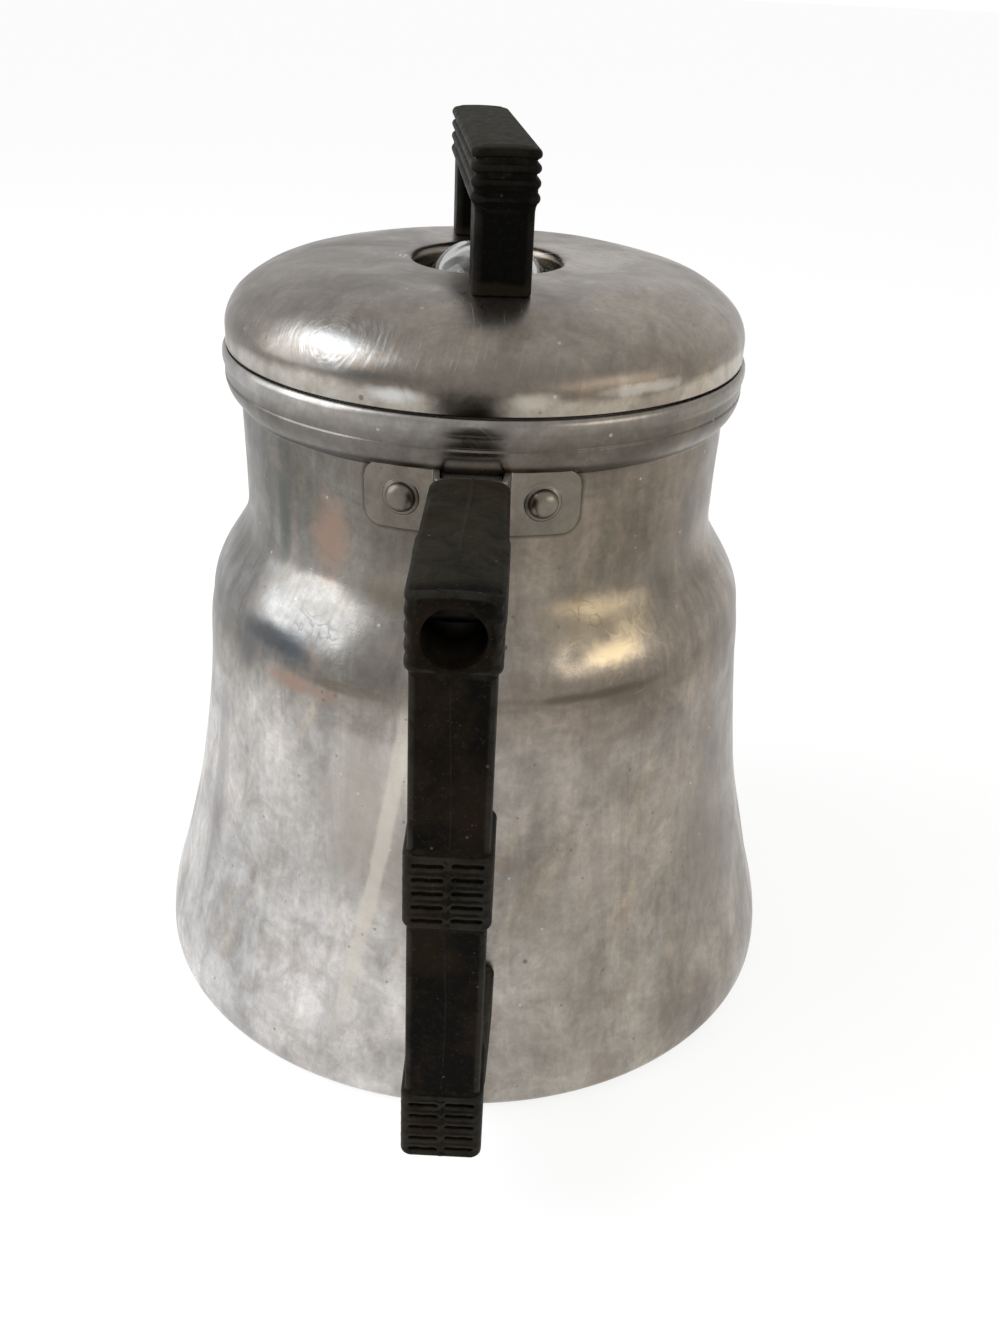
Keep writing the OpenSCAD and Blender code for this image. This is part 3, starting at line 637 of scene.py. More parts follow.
class Graph:
    """A material's nodes, made one after another."""

    def __init__(self, name: str) -> None:
        """Starts a material with its shader and its output."""
        self.material = bpy.data.materials.new(name)
        self.material.use_nodes = True
        self.tree = self.material.node_tree
        self.tree.nodes.clear()
        self.output = self.tree.nodes.new("ShaderNodeOutputMaterial")
        self.shader = self.tree.nodes.new("ShaderNodeBsdfPrincipled")
        self.tree.links.new(self.shader.outputs[0], self.output.inputs[0])
        self.place = self.node("TexCoord").outputs["Object"]

    def node(self, kind: str, **settings: Any) -> bpy.types.Node:
        """Adds a node and sets its options."""
        return add_node(self.tree, "ShaderNode" + kind, **settings)

    def put(self, socket: Socket, value: Any) -> None:
        """Links a socket to value, or sets it where value is a constant."""
        feed(self.tree, socket, value)

    def math(self, kind: str, a: Any, b: Any = 0.0) -> Socket:
        """One sum on numbers."""
        return filled(self.tree, "Math", a, b, operation=kind)

    def times(self, a: Any, b: Any) -> Socket:
        """a by b."""
        return self.math("MULTIPLY", a, b)

    def plus(self, a: Any, b: Any) -> Socket:
        """a and b."""
        return self.math("ADD", a, b)

    def minus(self, a: Any, b: Any) -> Socket:
        """a less b."""
        return self.math("SUBTRACT", a, b)

    def over(self, a: Any, b: Any) -> Socket:
        """a shared by b."""
        return self.math("DIVIDE", a, b)

    def swing(self, noise: Any, size: float) -> Socket:
        """A noise about its middle, by size."""
        return self.times(self.minus(noise, 0.5), size)

    def hypot(self, a: Any, b: Any) -> Socket:
        """The length of a flat arrow with sides a and b."""
        return self.math("SQRT", self.plus(self.times(a, a), self.times(b, b)))

    def vector(self, kind: str, a: Any, b: Any) -> Socket:
        """One sum on vectors."""
        return filled(self.tree, "VectorMath", a, b, operation=kind)

    def far(self, vector: Any) -> Socket:
        """A vector's length."""
        made = self.node("VectorMath", operation="LENGTH")
        self.put(made.inputs[0], vector)
        return made.outputs["Value"]

    def parts(self, vector: Any) -> Sequence[bpy.types.NodeSocket]:
        """A vector's x, y and z."""
        made = self.node("SeparateXYZ")
        self.put(made.inputs[0], vector)
        return made.outputs

    def made_of(self, x: Any, y: Any, z: Any) -> Socket:
        """A vector from its parts."""
        return filled(self.tree, "CombineXYZ", x, y, z)

    def noise(self, vector: Any, scale: float, detail: float = 3.0, roughness: float = 0.55,
              distortion: float = 0.0) -> Socket:
        """Cloudy noise from 0 to 1.

        Args:
            vector: Where to look.
            scale: Cells in a unit.
            detail, roughness, distortion: The noise's own settings.

        Returns:
            The noise.
        """
        made = self.node("TexNoise")
        self.put(made.inputs["Vector"], vector)
        for key, value in (("Scale", scale), ("Detail", detail), ("Roughness", roughness),
                           ("Distortion", distortion)):
            made.inputs[key].default_value = value
        return made.outputs["Fac"]

    def between(self, value: Any, low: float, high: float, to_low: float = 0.0,
                to_high: float = 1.0) -> Socket:
        """value eased from to_low at low to to_high at high."""
        return filled(self.tree, "MapRange", value, low, high, to_low, to_high,
                      interpolation_type="SMOOTHSTEP")

    def mixed(self, share: Any, a: Any, b: Any, kind: str = "MIX") -> Socket:
        """Colour a with a share of colour b.

        Args:
            share: How much of b shows.
            a, b: The colours.
            kind: The way of mixing.

        Returns:
            The colour.
        """
        made = self.node("Mix", data_type="RGBA", blend_type=kind)
        self.put(made.inputs[0], share)
        self.put(made.inputs[6], a)
        self.put(made.inputs[7], b)
        return made.outputs[2]

    def specks(self, vector: Any, per_metre: float, size: float, share: float) -> Socket:
        """Small round specks, 1 inside a speck.

        Args:
            vector: Where to look.
            per_metre: Cells in a metre.
            size: A speck's radius, in cells.
            share: Share of the cells that hold a speck.

        Returns:
            The mask.
        """
        made = self.node("TexVoronoi")
        self.put(made.inputs["Vector"], vector)
        made.inputs["Scale"].default_value = per_metre
        near = self.between(made.outputs["Distance"], size, 0.55 * size)
        chosen = self.math("LESS_THAN", self.parts(made.outputs["Color"])[0], share)
        return self.times(near, chosen)

    def bump(self, height: Any, depth: float, strength: float = 1.0) -> None:
        """Gives the shader a relief of the given depth in metres.

        Args:
            height: The relief.
            depth: Its depth in metres.
            strength: How much of it shows.
        """
        made = self.node("Bump")
        made.inputs["Strength"].default_value = strength
        made.inputs["Distance"].default_value = depth
        self.put(made.inputs["Height"], height)
        self.tree.links.new(made.outputs[0], self.shader.inputs["Normal"])

    def finish(self, **values: Any) -> bpy.types.Material:
        """Sets the shader's sockets by name and returns the material."""
        for key, value in values.items():
            self.put(self.shader.inputs[key.replace("_", " ")], value)
        return self.material


@dataclass(frozen=True)
class ColourPatch:
    """A soft patch of another colour on the pot's sheet; some are stains, others painted
    reflections, highlights and shade.
    """

    angle: float
    height: float
    width: float
    tall: float
    colour: Colour
    share: float


@dataclass(frozen=True)
class Tone:
    """The sheet's colour at one height, on the left and on the right of the handle; the two sides
    differ as painted light, and some heights hold painted reflections and highlights.
    """

    height: float
    left: Colour
    right: Colour


@dataclass(frozen=True)
class WornAluminium:
    """Old spun aluminium: cloudy, streaked, finely scratched and pitted, with painted light in its
    tones, patches, glare, outline and edges.

    Attributes:
        name: The material's name.
        lay: Which way the wear runs.
        tones: The sheet's broad colours, from low to high, with painted light in them.
        warm: The brown of old patches.
        smooth, rough: The least and most roughness.
        streaks, clouding, scratches: How strong each kind of wear is.
        swirl: The middle of the ring scratches, in millimetres.
        stains_and_painted_light: Soft patches of other colours: stains, and painted reflections,
            highlights and shade.
        curls: Patches that hold thin curled marks.
        ribbon: A pale run, from one angle and height to another.
        flecks: The middle and size of a patch of white flecks.
        glare: Angle, height, width in degrees and height in millimetres of a painted highlight.
        grime_and_shadow: Half width, middle, half height and corner of a dark outline at the front,
            painted shadow and dirt round the bracket's strap.
        worn_edge: The colour of a painted highlight on the sheet's edges.
    """

    name: str
    lay: Lay
    tones: tuple[Tone, ...]
    warm: Colour = (0.30, 0.235, 0.185)
    smooth: float = 0.22
    rough: float = 0.38
    streaks: float = 0.3
    clouding: float = 0.5
    scratches: float = 0.5
    swirl: Place | None = None
    stains_and_painted_light: tuple[ColourPatch, ...] = ()
    curls: tuple[ColourPatch, ...] = ()
    ribbon: tuple[float, float, float, float] | None = None
    flecks: tuple[float, float, float, float] | None = None
    glare: tuple[float, float, float, float] | None = None
    grime_and_shadow: tuple[float, float, float, float] | None = None
    worn_edge: Colour | None = None

    def build(self) -> bpy.types.Material:
        """Builds the finish.

        Returns:
            The material.
        """
        g = Graph(self.name)
        x, y, z = g.parts(g.place)
        radius = g.hypot(x, y)
        angle = g.math("ARCTAN2", x, g.times(y, -1.0))
        rise = g.minus(z, radius)
        flat = (g.times(angle, MEAN_R * MM), rise) if self.lay is Lay.WALL else (x, y)
        clouds = g.noise(g.place, 26, 4, 0.6, 0.4)
        patches = g.noise(g.place, 85, 5, 0.65, 0.8)
        colour = self.shaded(g, clouds, patches, (g.over(x, radius), g.over(y, radius), z))
        colour = self.slanted(g, colour, flat)
        # patches of stain and of painted reflection, highlight and shade
        for spot in self.stains_and_painted_light:
            colour = g.mixed(self.patch(g, spot, angle, z, patches), colour, spot.colour)
        if self.ribbon:
            colour = self.streaked(g, colour, angle, z, patches)
        ring = g.math("ABSOLUTE", g.minus(g.noise(g.place, 170, 1, 0.5, 1.2), 0.5))
        for spot in self.curls:
            share = g.times(self.patch(g, spot, angle, z, patches), g.between(ring, 0.028, 0.006))
            colour = g.mixed(share, colour, spot.colour)
        # painted shadow and dirt round the bracket's strap
        if self.grime_and_shadow:
            colour = self.soiled_and_shaded(g, colour, angle, z)
        hair = self.hairlines(g, g.made_of(flat[0], flat[1], 0.0))
        if self.lay is Lay.TOP:
            hair = g.times(hair, g.between(z, 0.166, 0.173))
        colour = g.mixed(g.times(hair, 0.12), colour, (0.50, 0.49, 0.47))
        # a painted highlight
        if self.glare:
            colour = self.painted_glare(g, colour, angle, z, patches)
        if self.flecks:
            *middle, size = (v * MM for v in self.flecks)
            near = g.between(g.far(g.vector("SUBTRACT", g.place, tuple(middle))), size, 0.5 * size)
            colour = g.mixed(g.times(near, g.specks(g.place, 900, 0.42, 0.45)), colour,
                             (0.85, 0.85, 0.84))
        # a painted highlight on the edges
        if self.worn_edge:
            edge = g.node("Attribute", attribute_name="edge").outputs["Fac"]
            colour = g.mixed(g.times(edge, g.between(patches, 0.25, 0.5, 0.6, 1.0)), colour,
                             self.worn_edge)
        pits = g.specks(g.place, 130, 0.10, 0.12)
        for spots, share, tint in ((pits, 0.6, (0.07, 0.058, 0.045)),
                                   (g.specks(g.place, 320, 0.16, 0.16), 0.45, (0.11, 0.095, 0.075)),
                                   (g.specks(g.place, 260, 0.13, 0.12), 0.4, (0.62, 0.59, 0.53))):
            colour = g.mixed(g.times(spots, share), colour, tint)
        roughness = g.plus(g.between(g.plus(g.times(clouds, 0.6), g.times(patches, 0.4)), 0.3, 0.7,
                                     self.smooth, self.rough), g.times(hair, 0.12))
        lines = g.noise(g.made_of(g.times(x, 12.0), g.times(y, 12.0), g.times(rise, 1500.0)),
                        1.0, 3, 0.7)
        height = g.plus(g.times(lines, 0.30), g.times(g.noise(g.place, 900, 2, 0.6), 0.35))
        height = g.plus(height, g.times(patches, 2.2))
        for mark, depth in ((hair, self.scratches), (pits, 1.5)):
            height = g.minus(height, g.times(mark, depth))
        g.bump(height, 0.00005, 0.55)
        return g.finish(Base_Color=colour, Metallic=1.0, Roughness=roughness)

    def shaded(self, g: Graph, clouds: Any, patches: Any, run: Sequence[Any]) -> Socket:
        """The broad colour, with the painted light of its tones, and its clouds, streaks, mottling
        and brown patches.

        Args:
            g: The material's nodes.
            clouds, patches: The coarse and the finer noise.
            run: The direction from the axis, as x and y, and the height.

        Returns:
            The colour.
        """
        run_x, run_y, z = run
        shade: Any = None
        for noise, swing in ((clouds, 0.45 * self.clouding), (patches, 0.3 * self.clouding)):
            part = g.between(noise, 0.3, 0.7, 1 + swing, 1 - swing)
            shade = part if shade is None else g.times(shade, part)
        if self.streaks:
            strong = g.between(z, 0.151, 0.147, 0.25 * self.streaks, self.streaks)
            for around, up, rough, bent, share in ((6.0, 16.0, 0.6, 0.9, 0.48),
                                                   (22.0, 60.0, 0.7, 0.8, 0.2)):
                place = g.made_of(g.times(run_x, around), g.times(run_y, around), g.times(z, up))
                pattern = g.between(g.noise(place, 1.0, 5, rough, bent), 0.32, 0.68, -1.0, 1.0)
                swing = g.times(g.times(strong, share), pattern)
                shade = g.times(shade, g.plus(swing, 1.0))
        mottle = g.noise(g.place, 420, 4, 0.75, 0.3)
        shade = g.times(shade, g.between(mottle, 0.3, 0.7, 0.90, 1.10))
        colour = g.mixed(1.0, self.toned(g, z, run_x, clouds), shade, "MULTIPLY")
        return g.mixed(g.between(patches, 0.52, 0.75, 0.0, 0.4), colour, self.warm)

    def slanted(self, g: Graph, colour: Any, flat: Sequence[Any]) -> Socket:
        """The colour with slanting marks, some lighter and some darker than the sheet.

        Args:
            g: The material's nodes.
            colour: The colour so far.
            flat: The place on the flat sheet, as two numbers.

        Returns:
            The colour.
        """
        slant = g.noise(g.made_of(g.minus(g.times(flat[0], 150.0), g.times(flat[1], 45.0)),
                                  g.times(flat[1], 24.0), 0.0), 1.0, 4, 0.55, 0.5)
        for none, full, share, tint in ((0.55, 0.68, 0.42, (1.34, 1.25, 1.12)),
                                        (0.44, 0.33, 0.5, (0.86, 0.80, 0.76))):
            colour = g.mixed(g.between(slant, none, full, 0.0, share), colour,
                             g.mixed(1.0, colour, tint, "MULTIPLY"))
        return colour

    def soiled_and_shaded(self, g: Graph, colour: Any, angle: Any, z: Any) -> Socket:
        """The colour with painted shadow and dirt along a rounded outline at the front, round the
        bracket's strap.

        Args:
            g: The material's nodes.
            colour: The colour so far.
            angle: The angle round the axis, 0 at the front.
            z: The height.

        Returns:
            The colour.
        """
        half, middle, tall, corner = (v * MM for v in self.grime_and_shadow)
        a = g.minus(g.times(g.math("ABSOLUTE", angle), NECK_R * MM), half - corner)
        b = g.minus(g.math("ABSOLUTE", g.minus(z, middle)), tall - corner)
        a, b = g.math("MAXIMUM", a, 0.0), g.math("MAXIMUM", b, 0.0)
        far = g.minus(g.hypot(a, b), corner)
        # painted shadow and dirt, darkest at the strap's edge and under it
        return g.mixed(g.between(far, 0.0017, 0.0005, 0.0, 0.8), colour, (0.045, 0.038, 0.028))

    def toned(self, g: Graph, z: Any, run_x: Any, clouds: Any) -> Socket:
        """The sheet's broad colour by height and side, with painted reflections and highlights in
        its bands and painted light that differs between the two sides.

        Args:
            g: The material's nodes.
            z: The height.
            run_x: How far to the right the place is, from -1 to 1.
            clouds: The coarse noise.

        Returns:
            The colour.
        """
        tall = 0.2
        up = g.over(g.plus(z, g.swing(clouds, 0.006)), tall)
        sides = []
        for pick in ("left", "right"):
            ramp = g.node("ValToRGB")
            stops = ramp.color_ramp.elements
            while len(stops) < len(self.tones):
                stops.new(0.5)
            for stop, tone in zip(stops, self.tones):
                stop.position = tone.height * MM / tall
            for stop, tone in zip(stops, self.tones):
                stop.color = (*getattr(tone, pick), 1)
            g.put(ramp.inputs[0], up)
            sides.append(ramp.outputs[0])
        # painted light: the left side's and the right side's tones are blended across the front
        across = g.plus(run_x, g.swing(clouds, 0.5))
        return g.mixed(g.between(across, -0.8, 0.5), *sides)

    def hairlines(self, g: Graph, sheet: Any) -> Socket:
        """Fine curved scratches in four directions.

        Args:
            g: The material's nodes.
            sheet: The place on the flat sheet.

        Returns:
            1 on a scratch.
        """
        bent = g.node("TexNoise")
        g.put(bent.inputs["Vector"], sheet)
        bent.inputs["Scale"].default_value = 22
        bend = g.vector("MULTIPLY", bent.outputs["Color"], (0.02, 0.02, 0.0))
        curved = g.vector("ADD", sheet, bend)
        found: Any = 0.0
        for turn, low in ((0.25, 0.72), (1.0, 0.74), (-0.5, 0.73), (-1.2, 0.75)):
            turned = g.node("Mapping", vector_type="TEXTURE")
            turned.inputs["Rotation"].default_value = (0, 0, turn)
            g.put(turned.inputs["Vector"], curved)
            a, b, _ = g.parts(turned.outputs[0])
            line = g.noise(g.made_of(g.times(a, 110.0), g.times(b, 4200.0), turn * 9.0),
                           1.0, 1, 0.5)
            found = g.math("MAXIMUM", found, g.between(line, low, low + 0.08, 0.0, 0.7))
        if self.swirl:
            rings = g.between(self.rings(g, 1700.0), 0.60, 0.68)
            found = g.math("MAXIMUM", g.times(found, 0.6), g.times(rings, 0.6))
        return found

    def streaked(self, g: Graph, colour: Any, angle: Any, z: Any, ragged: Any) -> Socket:
        """The colour with a long pale run down the wall.

        Args:
            g: The material's nodes.
            colour: The colour so far.
            angle: The angle round the axis, 0 at the front.
            z: The height.
            ragged: A noise that frays the rim.

        Returns:
            The colour.
        """
        start, high, end, low = self.ribbon
        share = g.over(g.minus(high * MM, z), (high - low) * MM)
        middle = g.plus(math.radians(start), g.times(share, math.radians(end - start)))
        off = g.plus(g.math("ABSOLUTE", g.minus(angle, middle)), g.swing(ragged, 0.03))
        ends = g.times(g.between(share, -0.05, 0.1), g.between(share, 1.05, 0.8))
        shown = g.times(g.between(off, math.radians(1.9), math.radians(1.0), 0.0, 0.6), ends)
        return g.mixed(shown, colour, (0.60, 0.56, 0.49))

    def painted_glare(self, g: Graph, colour: Any, angle: Any, z: Any, ragged: Any) -> Socket:
        """The colour with a painted highlight, broken up by curved scratches.

        Args:
            g: The material's nodes.
            colour: The colour so far.
            angle: The angle round the axis, 0 at the front.
            z: The height.
            ragged: A noise that frays the rim.

        Returns:
            The colour.
        """
        far = self.away(g, angle, z, self.glare)
        far = g.plus(far, g.swing(ragged, 0.6))
        core = g.between(far, 0.8, 0.1, 0.0, 0.6)
        rays = g.times(g.between(far, 1.45, 0.5),
                       g.between(self.rings(g, 1500.0), 0.42, 0.70, 0.0, 0.6))
        return g.mixed(g.math("MAXIMUM", core, rays), colour, (0.52, 0.545, 0.56))

    def rings(self, g: Graph, fineness: float) -> Socket:
        """Broken rings round the swirl's middle.

        Args:
            g: The material's nodes.
            fineness: How close the rings are.

        Returns:
            The pattern.
        """
        away = g.vector("SUBTRACT", g.place, tuple(v * MM for v in self.swirl))
        ring = g.far(away)
        a, b, _ = g.parts(away)
        return g.noise(g.made_of(g.times(g.over(a, ring), 2.2), g.times(g.over(b, ring), 2.2),
                                 g.times(ring, fineness)), 1.0, 3, 0.6)

    def away(self, g: Graph, angle: Any, z: Any, oval: Sequence[float]) -> Socket:
        """How far a place is from an oval's middle, 1 on its rim."""
        middle, height, wide, tall = oval
        return g.hypot(g.over(g.minus(angle, math.radians(middle)), math.radians(wide)),
                       g.over(g.minus(z, height * MM), tall * MM))

    def patch(self, g: Graph, spot: ColourPatch, angle: Any, z: Any, ragged: Any) -> Socket:
        """How much of a patch shows at a place."""
        far = self.away(g, angle, z, (spot.angle, spot.height, spot.width, spot.tall))
        return g.between(g.plus(far, g.swing(ragged, 1.6)), 1.15, 0.25, 0.0, spot.share)


@dataclass(frozen=True)
class PlainMetal:
    """Stamped or turned metal inside the pot, and its small fittings."""

    name: str
    colour: Colour = (0.36, 0.34, 0.31)
    stain: Colour = (0.16, 0.13, 0.10)
    roughness: float = 0.36
    stained: float = 0.5

    def build(self) -> bpy.types.Material:
        """Builds the finish.

        Returns:
            The material.
        """
        g = Graph(self.name)
        cloud = g.noise(g.place, 60, 5, 0.62, 0.4)
        fine = g.noise(g.place, 700, 3, 0.6)
        colour = g.mixed(g.between(cloud, 0.42, 0.7, 0.0, self.stained), self.colour, self.stain)
        colour = g.mixed(g.times(g.specks(g.place, 350, 0.16, 0.12), 0.5), colour,
                         (0.2, 0.17, 0.14))
        g.bump(g.plus(fine, g.times(cloud, 2.0)), 0.00004, 0.5)
        return g.finish(Base_Color=colour, Metallic=1.0,
                        Roughness=g.between(cloud, 0.3, 0.7, self.roughness - 0.08,
                                            self.roughness + 0.12))


@dataclass(frozen=True)
class Bakelite:
    """Old moulded bakelite: dull black with brown in it, dusty on top and pale on its edges."""

    name: str
    black: Colour = (0.0030, 0.0027, 0.0021)
    brown: Colour = (0.016, 0.0100, 0.0056)
    dust: Colour = (0.038, 0.034, 0.024)
    edge: Colour = (0.045, 0.042, 0.034)
    fleck: Colour = (0.13, 0.12, 0.10)
    film: float = 0.28
    brown_below: float = 0.0
    dusty: float = 0.85
    dust_from: float = -1.0

    def build(self) -> bpy.types.Material:
        """Builds the finish.

        Returns:
            The material.
        """
        g = Graph(self.name)
        z = g.parts(g.place)[2]
        cloud = g.noise(g.place, 55, 4, 0.6, 0.5)
        fine = g.noise(g.place, 420, 4, 0.7)
        dusting = g.noise(g.place, 160, 5, 0.7, 0.6)
        up = g.parts(g.node("NewGeometry").outputs["Normal"])[2]
        sharp = g.node("Attribute", attribute_name="edge").outputs["Fac"]
        colour = g.mixed(g.between(cloud, 0.44, 0.66, 0.0, 0.85), self.black, self.brown)
        if self.brown_below:
            bent = g.plus(z, g.swing(cloud, 0.006))
            colour = g.mixed(g.between(bent, self.brown_below + 0.0006, self.brown_below - 0.0006,
                                       0.0, 0.8), colour, (0.016, 0.012, 0.007))
        front = g.plus(g.parts(g.place)[1], g.swing(cloud, 0.008))
        upward = g.times(g.times(g.between(up, 0.55, 0.97), self.dusty),
                         g.between(front, self.dust_from, self.dust_from + 0.005))
        dust = g.times(upward, g.between(dusting, 0.25, 0.7, 0.35, 1.0))
        caught = g.times(g.between(sharp, -0.05, -0.45), g.between(dusting, 0.4, 0.7, 0.0, 0.35))
        worn = g.times(g.between(sharp, 0.12, 0.75), g.between(dusting, 0.3, 0.65, 0.1, 0.55))
        flecks = g.times(g.specks(g.place, 330, 0.12, 0.10), 0.5)
        for cells, size, part, strength in ((760, 0.16, 0.10, 0.35), (1500, 0.25, 0.16, 0.2)):
            flecks = g.math("MAXIMUM", flecks,
                            g.times(g.specks(g.place, cells, size, part), strength))
        film = g.between(g.noise(g.place, 1100, 3, 0.7), 0.5, 0.75, 0.0, self.film)
        for share, tint in ((dust, self.dust), (caught, self.dust), (worn, self.edge),
                            (flecks, self.fleck), (film, self.dust)):
            colour = g.mixed(share, colour, tint)
        roughness = g.plus(g.between(fine, 0.3, 0.7, 0.42, 0.6), g.times(dust, 0.25))
        g.bump(g.plus(g.times(fine, 0.8), g.times(dusting, 1.2)), 0.00012, 0.5)
        return g.finish(Base_Color=colour, Roughness=roughness, Specular_IOR_Level=0.035)


@dataclass(frozen=True)
class ClearGlass:
    """Pressed glass, a little grey and a little dirty inside; its grey tint is partly painted shade
    for the dark inside under the knob.
    """

    name: str
    tint: Colour = (0.66, 0.665, 0.65)

    def build(self) -> bpy.types.Material:
        """Builds the finish.

        Returns:
            The material.
        """
        g = Graph(self.name)
        film = g.noise(g.place, 150, 4, 0.6, 0.6)
        g.bump(g.noise(g.place, 120, 2, 0.5), 0.0003, 0.25)
        return g.finish(Base_Color=self.tint, Roughness=g.between(film, 0.4, 0.75, 0.015, 0.16),
                        Transmission_Weight=1.0, IOR=1.5)


# ---------------------------------------------------------------- the pot

# Broad colours of the pot's wall by height, left and right. Painted light is in them: the left
# lighter than the right, a dark band of painted shade and reflection at the crease near 102 mm,
# dark painted reflections on the left of the neck, and a painted highlight on the collar.
WALL_TONES_AND_PAINTED_LIGHT = tuple(Tone(*row) for row in (
    (0, (0.51, 0.495, 0.485), (0.31, 0.28, 0.24)),
    (35, (0.52, 0.505, 0.495), (0.29, 0.262, 0.225)),
    (62, (0.50, 0.482, 0.465), (0.255, 0.225, 0.19)),
    (86, (0.44, 0.42, 0.40), (0.245, 0.218, 0.188)),
    (96, (0.30, 0.28, 0.255), (0.20, 0.17, 0.14)),
    (102, (0.15, 0.14, 0.13), (0.145, 0.12, 0.095)),
    (109, (0.22, 0.216, 0.212), (0.235, 0.205, 0.17)),
    (121, (0.20, 0.19, 0.175), (0.205, 0.178, 0.145)),
    (133, (0.125, 0.12, 0.11), (0.205, 0.172, 0.135)),
    (148, (0.13, 0.122, 0.11), (0.18, 0.152, 0.12)),
    (151.5, (0.13, 0.12, 0.108), (0.125, 0.108, 0.088)),
    (156, (0.15, 0.14, 0.128), (0.11, 0.096, 0.08)),
    (158.5, (0.27, 0.26, 0.25), (0.15, 0.132, 0.11)),
    (162, (0.36, 0.35, 0.34), (0.25, 0.23, 0.205))))
# Patches on the wall. Some are stains; others are painted light: painted window reflections on the
# left of the neck, dark painted shade and reflections along the crease near 100 mm, a painted
# golden highlight on the right shoulder, and lighter and darker painted reflections on the flare.
WAIST_STAINS_AND_PAINTED_LIGHT = tuple(ColourPatch(*row) for row in (
    (-36, 98, 7, 2.6, (0.30, 0.20, 0.155), 0.8),
    (-28, 97.5, 5, 2.0, (0.28, 0.20, 0.16), 0.6),
    (-36, 105, 5.5, 4.5, (0.075, 0.088, 0.10), 0.85),
    (-50, 101, 3.5, 9, (0.10, 0.098, 0.10), 0.7),
    (-33, 130, 6.5, 11, (0.29, 0.20, 0.155), 0.8),
    (-48, 131, 3.0, 14, (0.070, 0.085, 0.075), 0.8),
    (30, 110, 7, 3.2, (0.50, 0.41, 0.27), 0.8),
    (24, 119, 9, 4.0, (0.19, 0.155, 0.11), 0.6),
    (-17, 121, 8, 5.0, (0.18, 0.155, 0.115), 0.6),
    (48, 122, 6, 9, (0.13, 0.12, 0.10), 0.6),
    (58, 132, 5, 14, (0.13, 0.115, 0.10), 0.6),
    (6, 148, 12, 6, (0.12, 0.10, 0.075), 0.55),
    (-60, 60, 4, 32, (0.25, 0.225, 0.235), 0.6),
    (33, 100, 7, 3.0, (0.12, 0.10, 0.08), 0.7),
    (24, 101.5, 20, 1.5, (0.085, 0.07, 0.05), 0.75),
    (-42, 106, 11, 3.4, (0.06, 0.066, 0.072), 0.85),
    (-25, 100.5, 12, 1.4, (0.13, 0.105, 0.075), 0.7),
    (-20, 70, 9, 26, (0.33, 0.30, 0.265), 0.75),
    (62, 58, 15, 32, (0.20, 0.175, 0.15), 0.6),
    (-8, 60, 6, 30, (0.30, 0.275, 0.24), 0.6),
    (76, 134, 12, 14, (0.155, 0.135, 0.11), 0.5),
    (-76, 134, 12, 14, (0.15, 0.135, 0.115), 0.5),
    (30, 116, 16, 6, (0.30, 0.25, 0.17), 0.6)))
CURLS = tuple(ColourPatch(*row) for row in (
    (31, 113, 15, 10, (0.40, 0.33, 0.22), 0.5),
    (26, 118, 9, 6, (0.12, 0.09, 0.05), 0.6),
    (-32, 110, 9, 6, (0.10, 0.10, 0.10), 0.5)))
# the spout's left is painted lighter than its right, as painted light
SPOUT_TONES = (Tone(90, (0.30, 0.285, 0.26), (0.25, 0.225, 0.195)),
               Tone(160, (0.36, 0.345, 0.32), (0.32, 0.295, 0.265)))
BRACKET_TONES = (Tone(136, (0.15, 0.135, 0.115), (0.15, 0.132, 0.105)),
                 Tone(151, (0.17, 0.155, 0.132), (0.165, 0.146, 0.12)))


